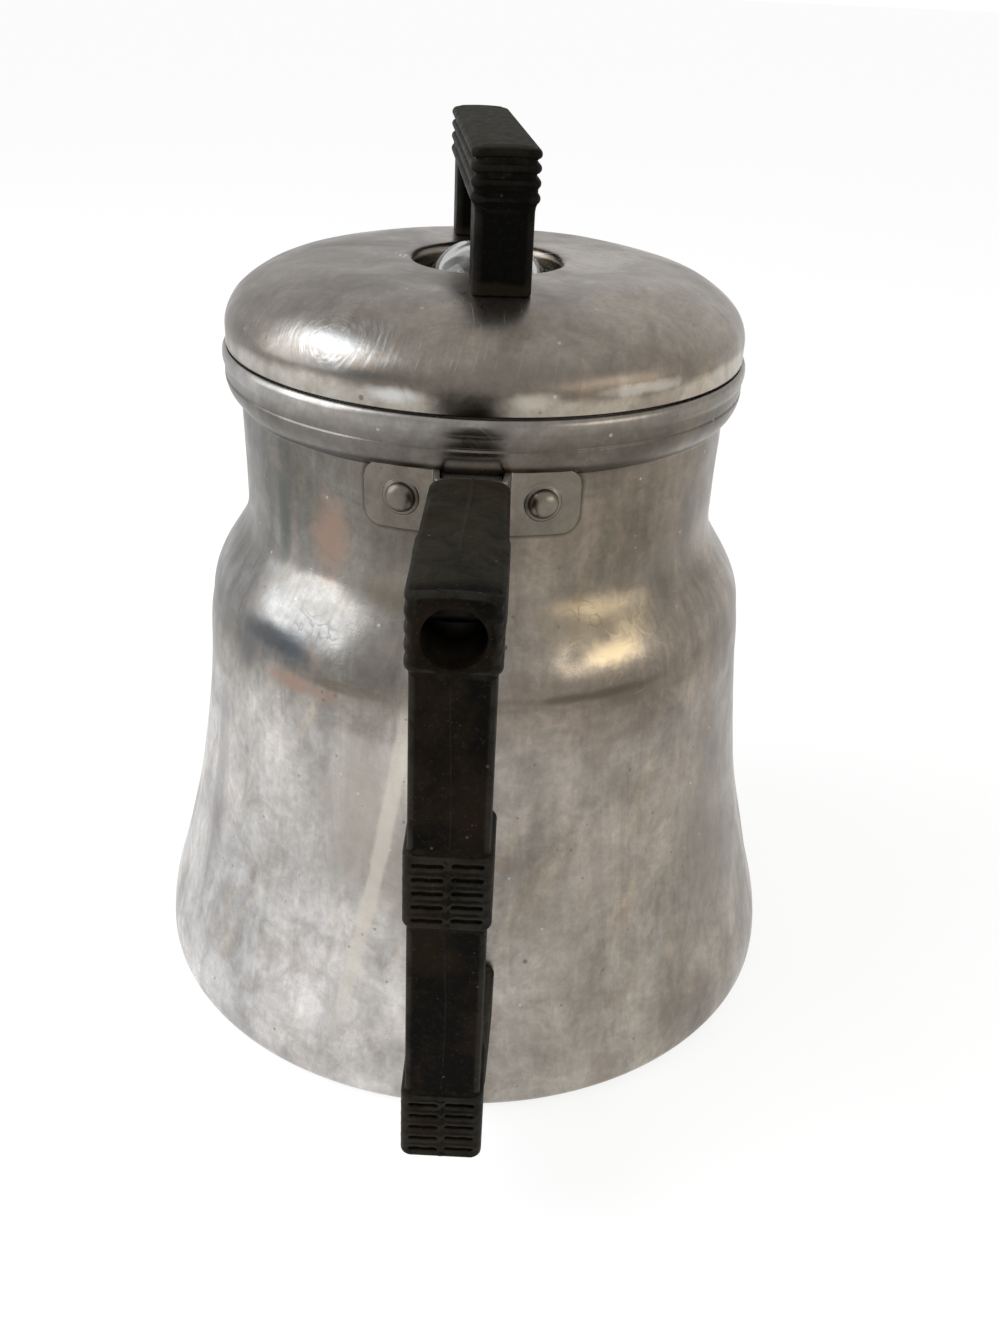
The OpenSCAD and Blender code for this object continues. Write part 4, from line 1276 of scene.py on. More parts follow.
@dataclass
class PotShell:
    """The spun pot: base, bell-shaped wall, shoulder, neck and collar."""

    base_r: float = 82.5
    corner_r: float = 3.0
    foot: tuple[float, float] = (78.0, 24.0)
    waist: tuple[float, float] = (66.9, 90.0)
    crease: tuple[float, float] = (65.6, 102.0)
    shoulder: tuple[float, float] = (60.2, 114.5)
    neck_low: tuple[float, float] = (56.1, 126.0)
    neck_top: tuple[float, float] = (56.5, 149.0)
    collar_r: float = 60.4
    rim_z: float = 161.6
    wall: float = 1.5
    sides: int = 288
    dents: tuple[Dent, ...] = (
        (44.5, 99.5, 3.6, -0.42), (47.5, 93.0, 3.0, -0.30), (20.6, 110.6, 2.2, -0.20),
        (28.7, 116.0, 2.4, -0.22), (-31.0, 108.0, 5.0, -0.25), (-66.0, 70.0, 9.0, -0.30),
        (71.0, 60.0, 8.0, -0.25), (118.0, 84.0, 6.0, -0.40), (-128.0, 50.0, 7.0, -0.35),
        (150.0, 30.0, 6.0, -0.30), (-95.0, 108.0, 5.0, -0.35))

    def outer(self) -> Array:
        """The wall's outer line, from the base's corner to the collar's upper band.

        Returns:
            Points of (radius, height).
        """
        slope, fall = np.array([-0.27, 1.0]), np.array([-0.66, 1.0])
        foot, waist, shoulder = (np.array(p) for p in (self.foot, self.waist, self.shoulder))
        crease, low, top = (np.array(p) for p in (self.crease, self.neck_low, self.neck_top))
        c, z = self.collar_r, self.neck_top[1]
        return chain(
            bezier((self.base_r, self.corner_r), (self.base_r, self.corner_r + 8),
                   foot - 6 * slope, foot, 22),
            bezier(foot, foot + 26 * slope, (waist[0] + 1.8, waist[1] - 24), waist, 62),
            bezier(waist, waist + (-0.1, 4), crease + (0.45, -3.2), crease, 14),
            bezier(crease, crease + (-0.6, 5), shoulder - 4 * fall, shoulder, 20),
            bezier(shoulder, shoulder + 3 * fall, low - (0, 6), low, 20),
            bezier(low, low + (0, 8), top - (0, 5), top, 18),
            bezier(top, (top[0] + 1, z + 0.6), (c - 0.6, z + 3), (c - 0.4, z + 6), 14))

    def line(self) -> Array:
        """The whole closed section, from the axis underneath round to the axis inside.

        Returns:
            Points of (radius, height).
        """
        c, b, w = self.collar_r, self.corner_r, self.wall
        z = self.neck_top[1]
        corner = arc((self.base_r - b, b), (b, b), -90, 0, 8)
        groove = [(c - 0.42, z + 6.1), (c - 0.62, z + 6.3), (c - 0.66, z + 6.5),
                  (c - 0.5, z + 6.75), (c - 0.42, z + 7.1), (c - 0.46, z + 8.4)]
        roll = bezier((c - 0.46, z + 8.7), (c - 0.44, z + 9.3), (c, z + 9.4), (c, z + 10.6), 6)
        rim = chain(arc((c - 0.9, self.rim_z - 1.6), (0.9, 1.6), 0, 90, 8),
                    arc((c - 0.9, self.rim_z - 0.6), (w - 0.9, 0.6), 90, 180, 4))
        under = [(0, 0.5), (20, 0.5), (45, 0.5), (68, 0.5), (69.5, 0.42), (70.6, 0.06), (72, 0),
                 (75, 0)]
        skin = chain(corner, self.outer())
        inner = left_of(resampled(skin, 3.2), w)[::-1]
        inner = inner[inner[:, 1] < z + 6]
        floor = [(60, w), (40, w), (20, w), (0, w)]
        return chain(under, skin, groove, roll, rim, [(c - w, z + 8)], inner, floor)

    def relief(self) -> Callable[[Array, Array, Array], Array]:
        """The unevenness and dents of the outside.

        Returns:
            A function of angle in degrees, radius and height.
        """
        soft = waves(7, 26, (4, 17), (16, 55), 0.055)
        small = waves(8, 26, (16, 44), (7, 18), 0.012)

        def out(angle: Array, radius: Array, z: Array) -> Array:
            """How far the sheet stands out."""
            made = soft(angle, z) + small(angle, z)
            made *= eased(0.6, 14, z) * (1 - 0.8 * eased(148, 158, z))
            made = made + dented(self.dents, angle, radius, z)
            edge = np.minimum(np.radians(np.abs(angle)) * 62, 60)
            fold = 0.22 * np.exp(-((z - 101.0 + 0.012 * edge) / 1.1) ** 2)
            return made - fold * (0.6 + 0.4 * np.sin(np.radians(angle * 3 + 40)))

        return out

    def build(self) -> bpy.types.Object:
        """Builds the shell, with the strainer's holes in it.

        Returns:
            The piece.
        """
        shell = lathed("pot_shell", self.line(), self.sides, self.relief())
        metal = WornAluminium("worn_pot_sheet", Lay.WALL, WALL_TONES_AND_PAINTED_LIGHT, stains_and_painted_light=WAIST_STAINS_AND_PAINTED_LIGHT,
                              curls=CURLS, ribbon=(-10.0, 99, -20.8, 13),
                              grime_and_shadow=(22.25, 143.5, 6.85, 3.7)).build()
        shell.data.materials.append(metal)
        Strainer().pierce(shell, metal)
        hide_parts("pot_base", "pot_flare", "pot_shoulder", "pot_neck")
        return shell


@dataclass
class Strainer:
    """The holes through the neck behind the spout."""

    pitch: tuple[float, float] = (4.6, 5.0)
    low_z: float = 129.0
    rows: tuple[int, ...] = (7, 6, 3)
    hole_d: float = 3.0
    hole_sides: int = 20
    cut_depth: float = 8.0
    wall_y: float = 55.0

    def pierce(self, shell: bpy.types.Object, metal: bpy.types.Material) -> None:
        """Cuts the rows of holes with one node tree for each row.

        Args:
            shell: The pot's shell.
            metal: The finish of the cut edges.
        """
        for index, count in enumerate(self.rows):
            run_nodes(shell, self.tree(metal), Holes=count, Pitch=self.pitch[0] * MM,
                      Hole_Radius=self.hole_d / 2 * MM, Wall=self.wall_y * MM,
                      Height=(self.low_z + index * self.pitch[1]) * MM)
        settled(shell)

    def tree(self, metal: bpy.types.Material) -> bpy.types.NodeTree:
        """Nodes that line up round cutters and take them out of the sheet.

        Args:
            metal: The finish of the cut edges.

        Returns:
            The tree.
        """
        t = NodeTree("strainer_row", Holes="Int", Pitch="Float", Hole_Radius="Float",
                     Height="Float", Wall="Float")
        half = t.math("MULTIPLY", t.math("SUBTRACT", t.given("Holes"), 1.0), 0.5)
        start = t.math("MULTIPLY", half, t.math("MULTIPLY", t.given("Pitch"), -1.0))
        cutter = t.node("MeshCylinder")
        cutter.inputs["Vertices"].default_value = self.hole_sides
        cutter.inputs["Depth"].default_value = self.cut_depth * MM
        t.link(t.given("Hole Radius"), cutter.inputs["Radius"])
        line, put = t.row(t.given("Holes"), t.vector(start, t.given("Wall"), t.given("Height")),
                          cutter.outputs["Mesh"])
        t.link(t.vector(t.given("Pitch"), 0.0, 0.0), line.inputs["Offset"])
        put.inputs["Rotation"].default_value = (math.radians(90), 0, 0)
        cut = t.node("MeshBoolean", operation="DIFFERENCE", solver="EXACT")
        t.link(t.given("Geometry"), cut.inputs["Mesh 1"])
        t.link(put.outputs[0], cut.inputs["Mesh 2"])
        return t.end(cut.outputs["Mesh"], metal)


@dataclass
class Spout:
    """The pressed spout at the back, with a rolled lip and a soldered root."""

    reach: float = 96.0
    lip_z: float = 153.0
    root_z: float = 94.0
    root_w: float = 40.0
    lip_w: float = 17.0
    lip_h: float = 15.0
    wall: float = 1.3
    around: int = 72
    along: int = 64

    def section(self, t: Array, grow: Array | float) -> Array:
        """Rings of the spout at t, grown by grow.

        Args:
            t: Places along the spout, 0 at its root and 1 at its lip.
            grow: How far the skin is moved out.

        Returns:
            Points, ring by ring.
        """
        half = self.lip_h / 2 * np.array([-0.84, 0.54])
        lip = np.array([self.reach, self.lip_z])
        top = [(47.1, 142), (64.1, 139), (self.reach - 18, self.lip_z - 10), lip + half]
        low = [(50.1, self.root_z), (71.1, self.root_z + 3), (self.reach - 8, self.lip_z - 32),
               lip - half]

        a, b = (cubic(t[..., None], *line) for line in (top, low))
        middle, up = (a + b) / 2, a - b
        size = np.linalg.norm(up, axis=-1, keepdims=True)
        up = up / size
        k = np.maximum(1 - np.minimum(t, 1), 0) ** 1.6
        w = (self.lip_w + (self.root_w - self.lip_w) * k) / 2 + grow
        h = size[..., 0] / 2 + grow
        v = np.linspace(0, 2 * math.pi, self.around, endpoint=False)[None, :]
        return np.stack([w * np.cos(v), middle[..., 0] + up[..., 0] * h * np.sin(v),
                         middle[..., 1] + up[..., 1] * h * np.sin(v)], -1)

    def rails(self, pot: PotShell, grow: float) -> Array:
        """Where each line along the spout leaves the pot's wall.

        Args:
            pot: The pot that it stands on.
            grow: How far the skin is moved out.

        Returns:
            A place along the spout for each line.
        """
        wall = pot.outer()
        low, high = np.zeros((1, self.around)), np.full((1, self.around), 0.9)
        for _ in range(24):
            t = (low + high) / 2
            p = self.section(t, grow)
            edge = np.interp(p[..., 2], wall[:, 1], wall[:, 0]) - 0.15
            out = np.hypot(p[..., 0], p[..., 1]) > edge
            high, low = np.where(out, t, high), np.where(out, low, t)
        return (low + high)[0] / 2

    def build(self, pot: PotShell) -> bpy.types.Object:
        """Builds the spout, trimmed to the pot's wall.

        Args:
            pot: The pot that it stands on.

        Returns:
            The piece.
        """
        skins = []
        for grow, order in ((0.0, 1), (-self.wall, -1)):
            start = self.rails(pot, grow)
            share = np.linspace(0, 1, self.along)[:, None] ** 1.15
            t = start[None] + (1 - start[None]) * share
            base = self.section(t, 0.0)
            near = np.linalg.norm(base - base[:1], axis=2)
            lip = np.linalg.norm(base - base[-1:], axis=2)
            swell = grow + 0 * t
            if order == 1:
                solder, roll = np.exp(-near / 1.3), np.exp(-((lip - 1.0) / 0.9) ** 2)
                swell = swell + 1.5 * solder + 0.55 * roll - 0.25 * np.exp(-(lip / 0.5) ** 2)
            skins.append(self.section(t, swell)[::order])
        points = np.vstack([s.reshape(-1, 3) for s in skins])
        faces = laid_grid(2 * self.along, self.around, True, True)[:, ::-1]
        made = piece_from("spout_shell", points, faces)
        made.data.materials.append(WornAluminium("worn_spout_sheet", Lay.WALL, SPOUT_TONES,
                                                 streaks=0.2).build())
        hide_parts("spout")
        return made


@dataclass
class Bracket:
    """The pressed strap riveted to the neck, with a raised box that holds the handle."""

    middle_z: float = 143.5
    height: float = 13.7
    half_angle: float = 22.6
    sheet: float = 1.2
    box_w: float = 14.6
    box_y: float = 63.7
    neck_r: float = NECK_R
    corner_r: float = 3.7
    shelf_z: float = 148.75
    rivet_angle: float = 14.6
    rivet_r: float = 3.2
    rivet_h: float = 1.95
    bevel: float = 0.40

    def path(self) -> Array:
        """The strap's middle line in plan, left to right.

        Returns:
            Points of (x, y).
        """
        r = self.neck_r + self.sheet / 2
        side = self.box_w / 2 - self.sheet / 2
        turn = math.degrees(math.asin((side + 0.2) / r))
        wing = np.radians(np.linspace(-self.half_angle, -turn - 2.0, 40))
        left = np.stack([r * np.sin(wing), -r * np.cos(wing)], 1)
        root = (-side - 0.5, -math.sqrt(r * r - side * side) - 0.02)
        front = -self.box_y + self.sheet / 2
        bend = filleted([left[-1], root, (-side, front), (0, front)], [0, 1.3, 1.25, 0], 8)
        half = chain(left, bend)
        return resampled(chain(half, half[::-1] * (-1, 1)), 0.33)

    def sheets(self, path: Array) -> tuple[Array, list[tuple[int, ...]]]:
        """The middle surfaces of the strap and of the shelf.

        Args:
            path: The strap's middle line in plan.

        Returns:
            Points and faces.
        """
        length = run_along(path)
        end = np.minimum(length, length[-1] - length)
        pull = np.clip(self.corner_r - end, 0, None)
        cut = self.corner_r - np.sqrt(np.maximum(self.corner_r ** 2 - pull ** 2, 0))
        low = self.middle_z - self.height / 2 + cut
        high = self.middle_z + self.height / 2 - cut
        share = np.linspace(0, 1, 42)
        z = low[:, None] + (high - low)[:, None] * share
        out = right_of(path)
        radial = np.hypot(path[:, 0], path[:, 1])
        ear = 1 - eased(self.neck_r + 0.9, self.neck_r + 2.5, radial)
        lift = (z - self.middle_z) * 0.017 * ear[:, None]
        angle = np.degrees(np.arctan2(path[:, 0], -path[:, 1]))
        for s in (-1, 1):
            flat = np.hypot(np.radians(angle[:, None] - s * self.rivet_angle) * self.neck_r,
                            z - self.middle_z)
            lift = lift - 0.16 * np.exp(-((flat - 4.2) / 0.55) ** 2) * ear[:, None]
        lift = lift + 0.04 * np.sin(length[:, None] * 0.9) * np.sin(z * 0.7) * ear[:, None]
        x = path[:, :1] + out[:, :1] * lift
        y = path[:, 1:] + out[:, 1:] * lift
        points = np.stack([x, y, z], 2).reshape(-1, 3)
        faces = list(map(tuple, laid_grid(len(path), len(share))))
        shelf_x = np.linspace(-1, 1, 11) * (self.box_w / 2 - self.sheet - 0.1)
        front = self.box_y - self.sheet - 0.1
        rear = np.sqrt((self.neck_r + 0.15) ** 2 - shelf_x ** 2)
        depth = front + (rear - front)[:, None] * np.linspace(0, 1, 5)
        shelf = np.stack(np.broadcast_arrays(shelf_x[:, None], -depth, self.shelf_z), 2)
        shelf = shelf.reshape(-1, 3)
        faces += [tuple(i + len(points) for i in f) for f in laid_grid(11, 5)]
        return np.vstack([points, shelf]), faces

    def wear(self, piece: bpy.types.Object, path: Array) -> Array:
        """How much painted highlight the strap's edges get, with a weaker painted highlight on the
        shelf's top.

        Args:
            piece: The strap.
            path: The strap's middle line in plan.

        Returns:
            A share for each point.
        """
        normals = np.array([v.normal for v in piece.data.vertices])
        places = np.array([v.co for v in piece.data.vertices]) / MM
        flat = np.argmin(np.abs(places[:, None, :2] - path[None, ::4]).sum(2), axis=1)
        facing = np.abs((normals[:, :2] * right_of(path)[::4][flat]).sum(1))
        # the shelf's top gets a weaker painted highlight
        on_shelf = (places[:, 2] > self.shelf_z + 0.4) * (normals[:, 2] > 0.9)
        on_shelf = 0.45 * on_shelf * (np.abs(places[:, 0]) < 6.2)
        return np.maximum(1 - eased(0.7, 0.97, facing), on_shelf)

    def build(self) -> list[bpy.types.Object]:
        """Builds the strap and its rivets.

        Returns:
            The two pieces.
        """
        path = self.path()
        strap = piece_from("bracket_strap", *self.sheets(path))
        modifier(strap, "SOLIDIFY", thickness=self.sheet * MM, offset=0.0)
        modifier(strap, "BEVEL", width=self.bevel * MM, segments=3, limit_method="ANGLE",
                 angle_limit=math.radians(50), harden_normals=False)
        settled(strap)
        strap.data.shade_smooth()
        keep_values(strap, "edge", self.wear(strap, path))
        # the edge colour is a painted highlight
        metal = WornAluminium("worn_bracket_sheet", Lay.WALL, BRACKET_TONES, smooth=0.28,
                              rough=0.42, streaks=0.0, clouding=0.25, scratches=0.4,
                              worn_edge=(0.85, 0.83, 0.80)).build()
        strap.data.materials.append(metal)
        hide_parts("handle_bracket")
        rivets = self.rivets(metal)
        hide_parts("bracket_rivets")
        return [strap, rivets]

    def rivets(self, metal: bpy.types.Material) -> bpy.types.Object:
        """The two rivets, each turned once and set on its place by nodes.

        Args:
            metal: The rivets' finish.

        Returns:
            The piece.
        """
        r, h = self.rivet_r, self.rivet_h
        line = chain([(0, -3.9), (2.0, -3.9), (2.4, -3.7), (2.5, -3.2), (2.5, -2.8), (1.6, -2.75)],
                     [(1.6, -0.4), (3.9, -0.4), (4.0, -0.18), (3.75, -0.02), (r + 0.1, 0.02)],
                     bezier((r, 0.1), (r, 0.75), (r - 0.5, 1.35), (r - 1.3, 1.68), 7),
                     bezier((r - 1.3, 1.68), (r - 2.0, h), (0.7, h), (0, h), 5))
        head = lathed("rivet_head", line, 28)
        t = NodeTree("rivets_on_strap", Rivet="Object", Angle="Float", Out="Float",
                     Height="Float")
        source = t.node("ObjectInfo", transform_space="ORIGINAL")
        t.link(t.given("Rivet"), source.inputs["Object"])
        both = t.node("JoinGeometry")
        for sign in (-1.0, 1.0):
            angle = t.math("MULTIPLY", t.given("Angle"), sign)
            ahead = t.math("MULTIPLY", t.given("Out"), -1.0)
            place = t.vector(t.math("MULTIPLY", t.math("SINE", angle), t.given("Out")),
                             t.math("MULTIPLY", t.math("COSINE", angle), ahead),
                             t.given("Height"))
            _, put = t.row(1, place, source.outputs["Geometry"])
            t.link(t.vector(math.radians(90), 0.0, angle), put.inputs["Rotation"])
            t.link(put.outputs[0], both.inputs[0])
        made = piece_from("bracket_rivet_pair", np.zeros((3, 3)), [])
        run_nodes(made, t.end(both.outputs[0], metal), Rivet=head,
                  Angle=math.radians(self.rivet_angle), Height=self.middle_z * MM,
                  Out=(self.neck_r + self.sheet) * MM)
        settled(made)
        bpy.data.objects.remove(head)
        return made


# ---------------------------------------------------------------- the pot handle

@dataclass
class PotHandle:
    """The moulded handle: an upper arm, a grip with three ribbed bands, and a heel."""

    end_u: float = 63.75
    top_z: float = 151.8
    arm_low_z: float = 137.8
    grip_u: float = 109.35
    grip_half: float = 7.45
    band_half: tuple[float, float] = (8.23, 8.3)
    low_z: float = 24.0
    corner_band: tuple[float, float] = (137.1, 151.8)
    mid_band: tuple[float, float] = (83.6, 100.0)
    low_band: tuple[float, float] = (24.0, 41.0)
    rib_pitch: float = 3.1
    bore_z: float = 143.5
    bore_r: float = 5.55
    bore_u: float = 105.7
    screw_r: float = 2.62
    edge_r: float = 1.15
    band_r: float = 2.3
    notch_r: float = 0.85
    slot_half: tuple[float, float] = (2.95, 0.47)
    slot_depth: float = 1.1
    ridge: float = 0.17
    seam: float = 0.10
    clearance: float = 0.35
    cell: float = 0.42

    def __post_init__(self) -> None:
        """Draws the side outline once."""
        inner = self.grip_u - 7.5
        heel = bezier((75.5, 38), (89.85, 37), (inner - 1, 44), (self.grip_u, 57), 24)[::-1]
        heel = heel[heel[:, 0] < inner]
        line = chain([(self.end_u, self.arm_low_z), (inner - 10, self.arm_low_z)],
                     arc((inner - 10, self.arm_low_z - 10), (10, 10), 90, 0, 10),
                     [(inner, 52.6), (inner - 0.35, 50.4)], heel,
                     [(72.5, 35), (72, self.low_z), (self.grip_u + 4.5, self.low_z)],
                     arc((self.grip_u + 4.5, self.low_z + 3), (3, 3), -90, 0, 6),
                     [(self.grip_u + 7.5, self.top_z)],
                     bezier((self.end_u + 3.6, self.top_z), (self.end_u + 1.8, self.top_z),
                            (self.end_u + 0.2, self.top_z - 0.5),
                            (self.end_u, self.top_z - 1.7), 6))
        self.side = Outline(line)
        self.wall = PotShell().outer()

    def shape(self, x: Array, y: Array, z: Array) -> Array:
        """Distance to the handle.

        Args:
            x, y, z: The place.

        Returns:
            The distance, below zero inside.
        """
        u, side = -y, np.abs(x)
        crown = z + 0.010 * x * x * eased(137, 146, z)
        arm = eased(134, 139, z) * (1 - eased(98, 103, u))
        heel = (1 - eased(41, 50, z)) * (1 - eased(97, 104, u))
        half = (self.grip_half + arm * (0.4 + 0.45 * (u - self.end_u) / 39)
                + heel * (1.95 - 1.05 * np.clip((u - 72) / 29, 0, 1)))
        half = half - arm * 1.5 * eased(67.5, 63.5, u) * eased(143, 152, z)
        body = prism(self.side(u, crown), side - half, self.edge_r)
        for low, high in (self.corner_band, self.mid_band, self.low_band):
            top = low > 100
            z_here = crown if top else z
            plan = block((u, x), (self.grip_u - 5 * top, 0),
                         (self.band_half[0] + 5 * top, self.band_half[1]), self.band_r)
            band = prism(plan, np.abs(z_here - (low + high) / 2) - (high - low) / 2, 0.7)
            body = joined(body, band, 0.8)
        body = carved(body, self.grooves(x, side, u, z), 0.35)
        far = np.hypot(x, z - self.bore_z)
        body = carved(body, np.maximum(far - self.bore_r, self.bore_u - u), 0.5)
        body = carved(body, far - self.screw_r, 0.3)
        ridge = self.ridge * np.exp(-((x - 0.35 * np.sin(u * 0.11) - 0.2) / 0.25) ** 2)
        body = body - ridge * eased(150.5, 151.5, crown) * (1 - eased(100, 102, u))
        seam = self.seam * np.exp(-((x - 0.3 * np.sin(z * 0.13)) / 0.24) ** 2)
        body = body - seam * eased(115.5, 116.5, u) * (1 - eased(134, 137, z))
        gap = self.clearance + np.interp(z, self.wall[:, 1], self.wall[:, 0]) - np.hypot(x, y)
        return np.maximum(body, gap)

    def grooves(self, x: Array, side: Array, u: Array, z: Array) -> Array:
        """Distance to the grooves of the three ribbed bands.

        Args:
            x: Places across.
            side: The same, without a sign.
            u: Places outwards from the pot.
            z: Heights.

        Returns:
            The distance, below zero inside.
        """
        best = np.full(np.broadcast(x, z).shape, 9.0)
        for (low, high), count in ((self.corner_band, 4), (self.mid_band, 5), (self.low_band, 5)):
            middle = (low + high) / 2
            for k in range(count):
                zi = middle + (k - (count - 1) / 2) * self.rib_pitch
                notch = np.hypot(side - self.band_half[1] - 0.25, z - zi) - self.notch_r
                if count == 4:
                    notch = np.maximum(notch, 103.5 - u)
                else:
                    notch = np.maximum(notch, np.abs(u - self.grip_u) - 6.1)
                best = np.minimum(best, notch)
                if count == 4:
                    continue
                bow = 0.05 * np.sin(1.9 * x + 2.1 * zi) + 0.15 * np.sign(x)
                slot = block((side, z - zi - bow), (3.65, 0), self.slot_half, 0.45)
                slot = np.maximum(slot, self.grip_u + self.band_half[0] - self.slot_depth - u)
                best = np.minimum(best, slot)
        return best

    def build(self) -> bpy.types.Object:
        """Builds the handle.

        Returns:
            The piece.
        """
        points, faces, turn = skinned(self.shape, (-9.6, -118.6, 23), (9.6, -62.5, 153), self.cell)
        made = piece_from("handle_moulding", points, faces)
        # painted shade: inside the counterbore and round its mouth, edge wear and caught dust are
        # left out, so that it stays black
        rim = np.hypot(points[:, 0], points[:, 2] - self.bore_z) - self.bore_r
        out_of_bore_shade = np.where(points[:, 1] < -self.bore_u, eased(0.8, 1.6, rim), 1)
        keep_values(made, "edge", turn * out_of_bore_shade)
        made.data.materials.append(Bakelite("old_bakelite", dust_from=-0.1165).build())
        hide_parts("pot_handle")
        return made


# ---------------------------------------------------------------- the lid

# Broad colours of the lid by height, left and right, with painted reflections in them: a bright
# band low on the rim and a dark band just above it, and painted light that differs between the two
# sides.
LID_TONES_AND_PAINTED_LIGHT = tuple(Tone(*row) for row in (
    (161.9, (0.33, 0.31, 0.28), (0.34, 0.30, 0.25)),
    (164.6, (0.36, 0.335, 0.30), (0.37, 0.33, 0.27)),
    (166.2, (0.155, 0.138, 0.12), (0.17, 0.145, 0.115)),
    (169.0, (0.165, 0.148, 0.13), (0.21, 0.18, 0.15)),
    (172, (0.215, 0.195, 0.175), (0.27, 0.24, 0.205)),
    (176, (0.205, 0.185, 0.162), (0.28, 0.25, 0.215)),
    (181, (0.215, 0.192, 0.168), (0.26, 0.23, 0.20))))


# Patches on the lid, most of them painted light: a near-black painted reflection at the front of
# the rim, bright painted highlights low on the rim, and a dark painted band; the rest are stains.
LID_STAINS_AND_PAINTED_LIGHT = tuple(ColourPatch(*row) for row in (
    (-26, 168.2, 17, 1.6, (0.10, 0.096, 0.09), 0.75),
    (-16, 165.0, 6.5, 2.0, (0.60, 0.60, 0.58), 0.8),
    (11, 165.3, 5, 1.9, (0.50, 0.45, 0.38), 0.7),
    (-1.0, 163.2, 9.5, 5.0, (0.03, 0.027, 0.022), 0.95),
    (34, 166.3, 13, 1.5, (0.55, 0.51, 0.45), 0.6),
    (9, 170.5, 12, 2.5, (0.17, 0.145, 0.12), 0.5)))


@dataclass
class Lid:
    """The domed lid with its glass knob."""

    radius: float = 59.5
    low_z: float = 161.9
    shoulder_z: float = 165.9
    top_z: float = 180.5
    crown_r: float = 33.0
    hole_r: float = 16.7
    lip_r: float = 2.0
    lip_low_z: float = 175.9
    wall: float = 1.1
    sides: int = 256
    dents: tuple[Dent, ...] = (
        (-91, 18.7, 1.2, -0.12), (18.6, 57.5, 1.1, -0.10), (-40, 47, 6.0, -0.10),
        (35, 50, 5.0, 0.08), (140, 48, 6, -0.2))

    def line(self) -> Array:
        """The lid's outside, from its lower edge in to the hole.

        Returns:
            Points of (radius, height).
        """
        return chain([(self.radius - 0.15, self.low_z), (self.radius, self.low_z + 0.4),
                      (self.radius, self.low_z + 2)],
                     arc((self.crown_r, self.shoulder_z),
                         (self.radius - self.crown_r, self.top_z - self.shoulder_z), 0, 90, 56),
                     [(29, self.top_z), (25, self.top_z), (21.5, self.top_z)],
                     arc((self.hole_r + self.lip_r, self.top_z - self.lip_r),
                         (self.lip_r, self.lip_r), 90, 180, 8),
                     [(self.hole_r, self.lip_low_z + 1), (self.hole_r, self.lip_low_z)])

    def shell(self) -> bpy.types.Object:
        """Builds the spun sheet.

        Returns:
            The piece.
        """
        outer = self.line()
        inner = left_of(outer, self.wall)[::-2]
        soft = waves(21, 24, (3, 14), (6, 26), 0.05)

        def relief(angle: Array, radius: Array, z: Array) -> Array:
            """The sheet's unevenness."""
            made = soft(angle, z - 0.55 * radius) * eased(self.low_z, self.low_z + 5, z)
            made = made * eased(self.hole_r, self.hole_r + 6, radius)
            return made + dented(self.dents, angle, radius, radius)

        made = lathed("lid_sheet", chain(outer, inner), self.sides, relief)
        # the lid's glare is a painted highlight on its left front
        metal = WornAluminium("worn_lid_sheet", Lay.TOP, LID_TONES_AND_PAINTED_LIGHT, streaks=0.1, scratches=0.9,
                              swirl=(-29, -47, 172), stains_and_painted_light=LID_STAINS_AND_PAINTED_LIGHT,
                              glare=(-30.5, 172.6, 15, 3.6), flecks=(-18.8, -1.0, 180.5, 4.2))
        made.data.materials.append(metal.build())
        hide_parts("lid_shell")
        return made

    def dome(self) -> bpy.types.Object:
        """Builds the pressed glass knob under the handle.

        Returns:
            The piece.
        """
        centre, r, wall = 169.4, 15.4, 2.4
        seat = self.lip_low_z - 0.02
        outer = [(r * math.sin(a), centre + r * math.cos(a)) for a in
                 np.linspace(0, math.acos((seat - centre) / r), 34)]
        inner = [((r - wall) * math.sin(a), centre + (r - wall) * math.cos(a)) for a in
                 np.linspace(math.acos((173.5 - centre) / (r - wall)), 0, 26)]
        flange = [outer[-1], (18.5, seat), (18.5, seat - 2.4), (14.5, seat - 2.4), (14.3, 172),
                  (12.0, 172), inner[0]]
        line = chain(outer, filleted(flange, [0, 0.5, 0.5, 0.4, 0.3, 0.3, 0], 4), inner)
        soft = waves(33, 12, (2, 9), (5, 12), 0.05)
        made = lathed("glass_knob", line[::-1], 128,
                      lambda angle, radius, z: soft(angle, z) * eased(2, 9, radius))
        made.data.materials.append(ClearGlass("pressed_glass").build())
        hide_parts("glass_dome")
        return made


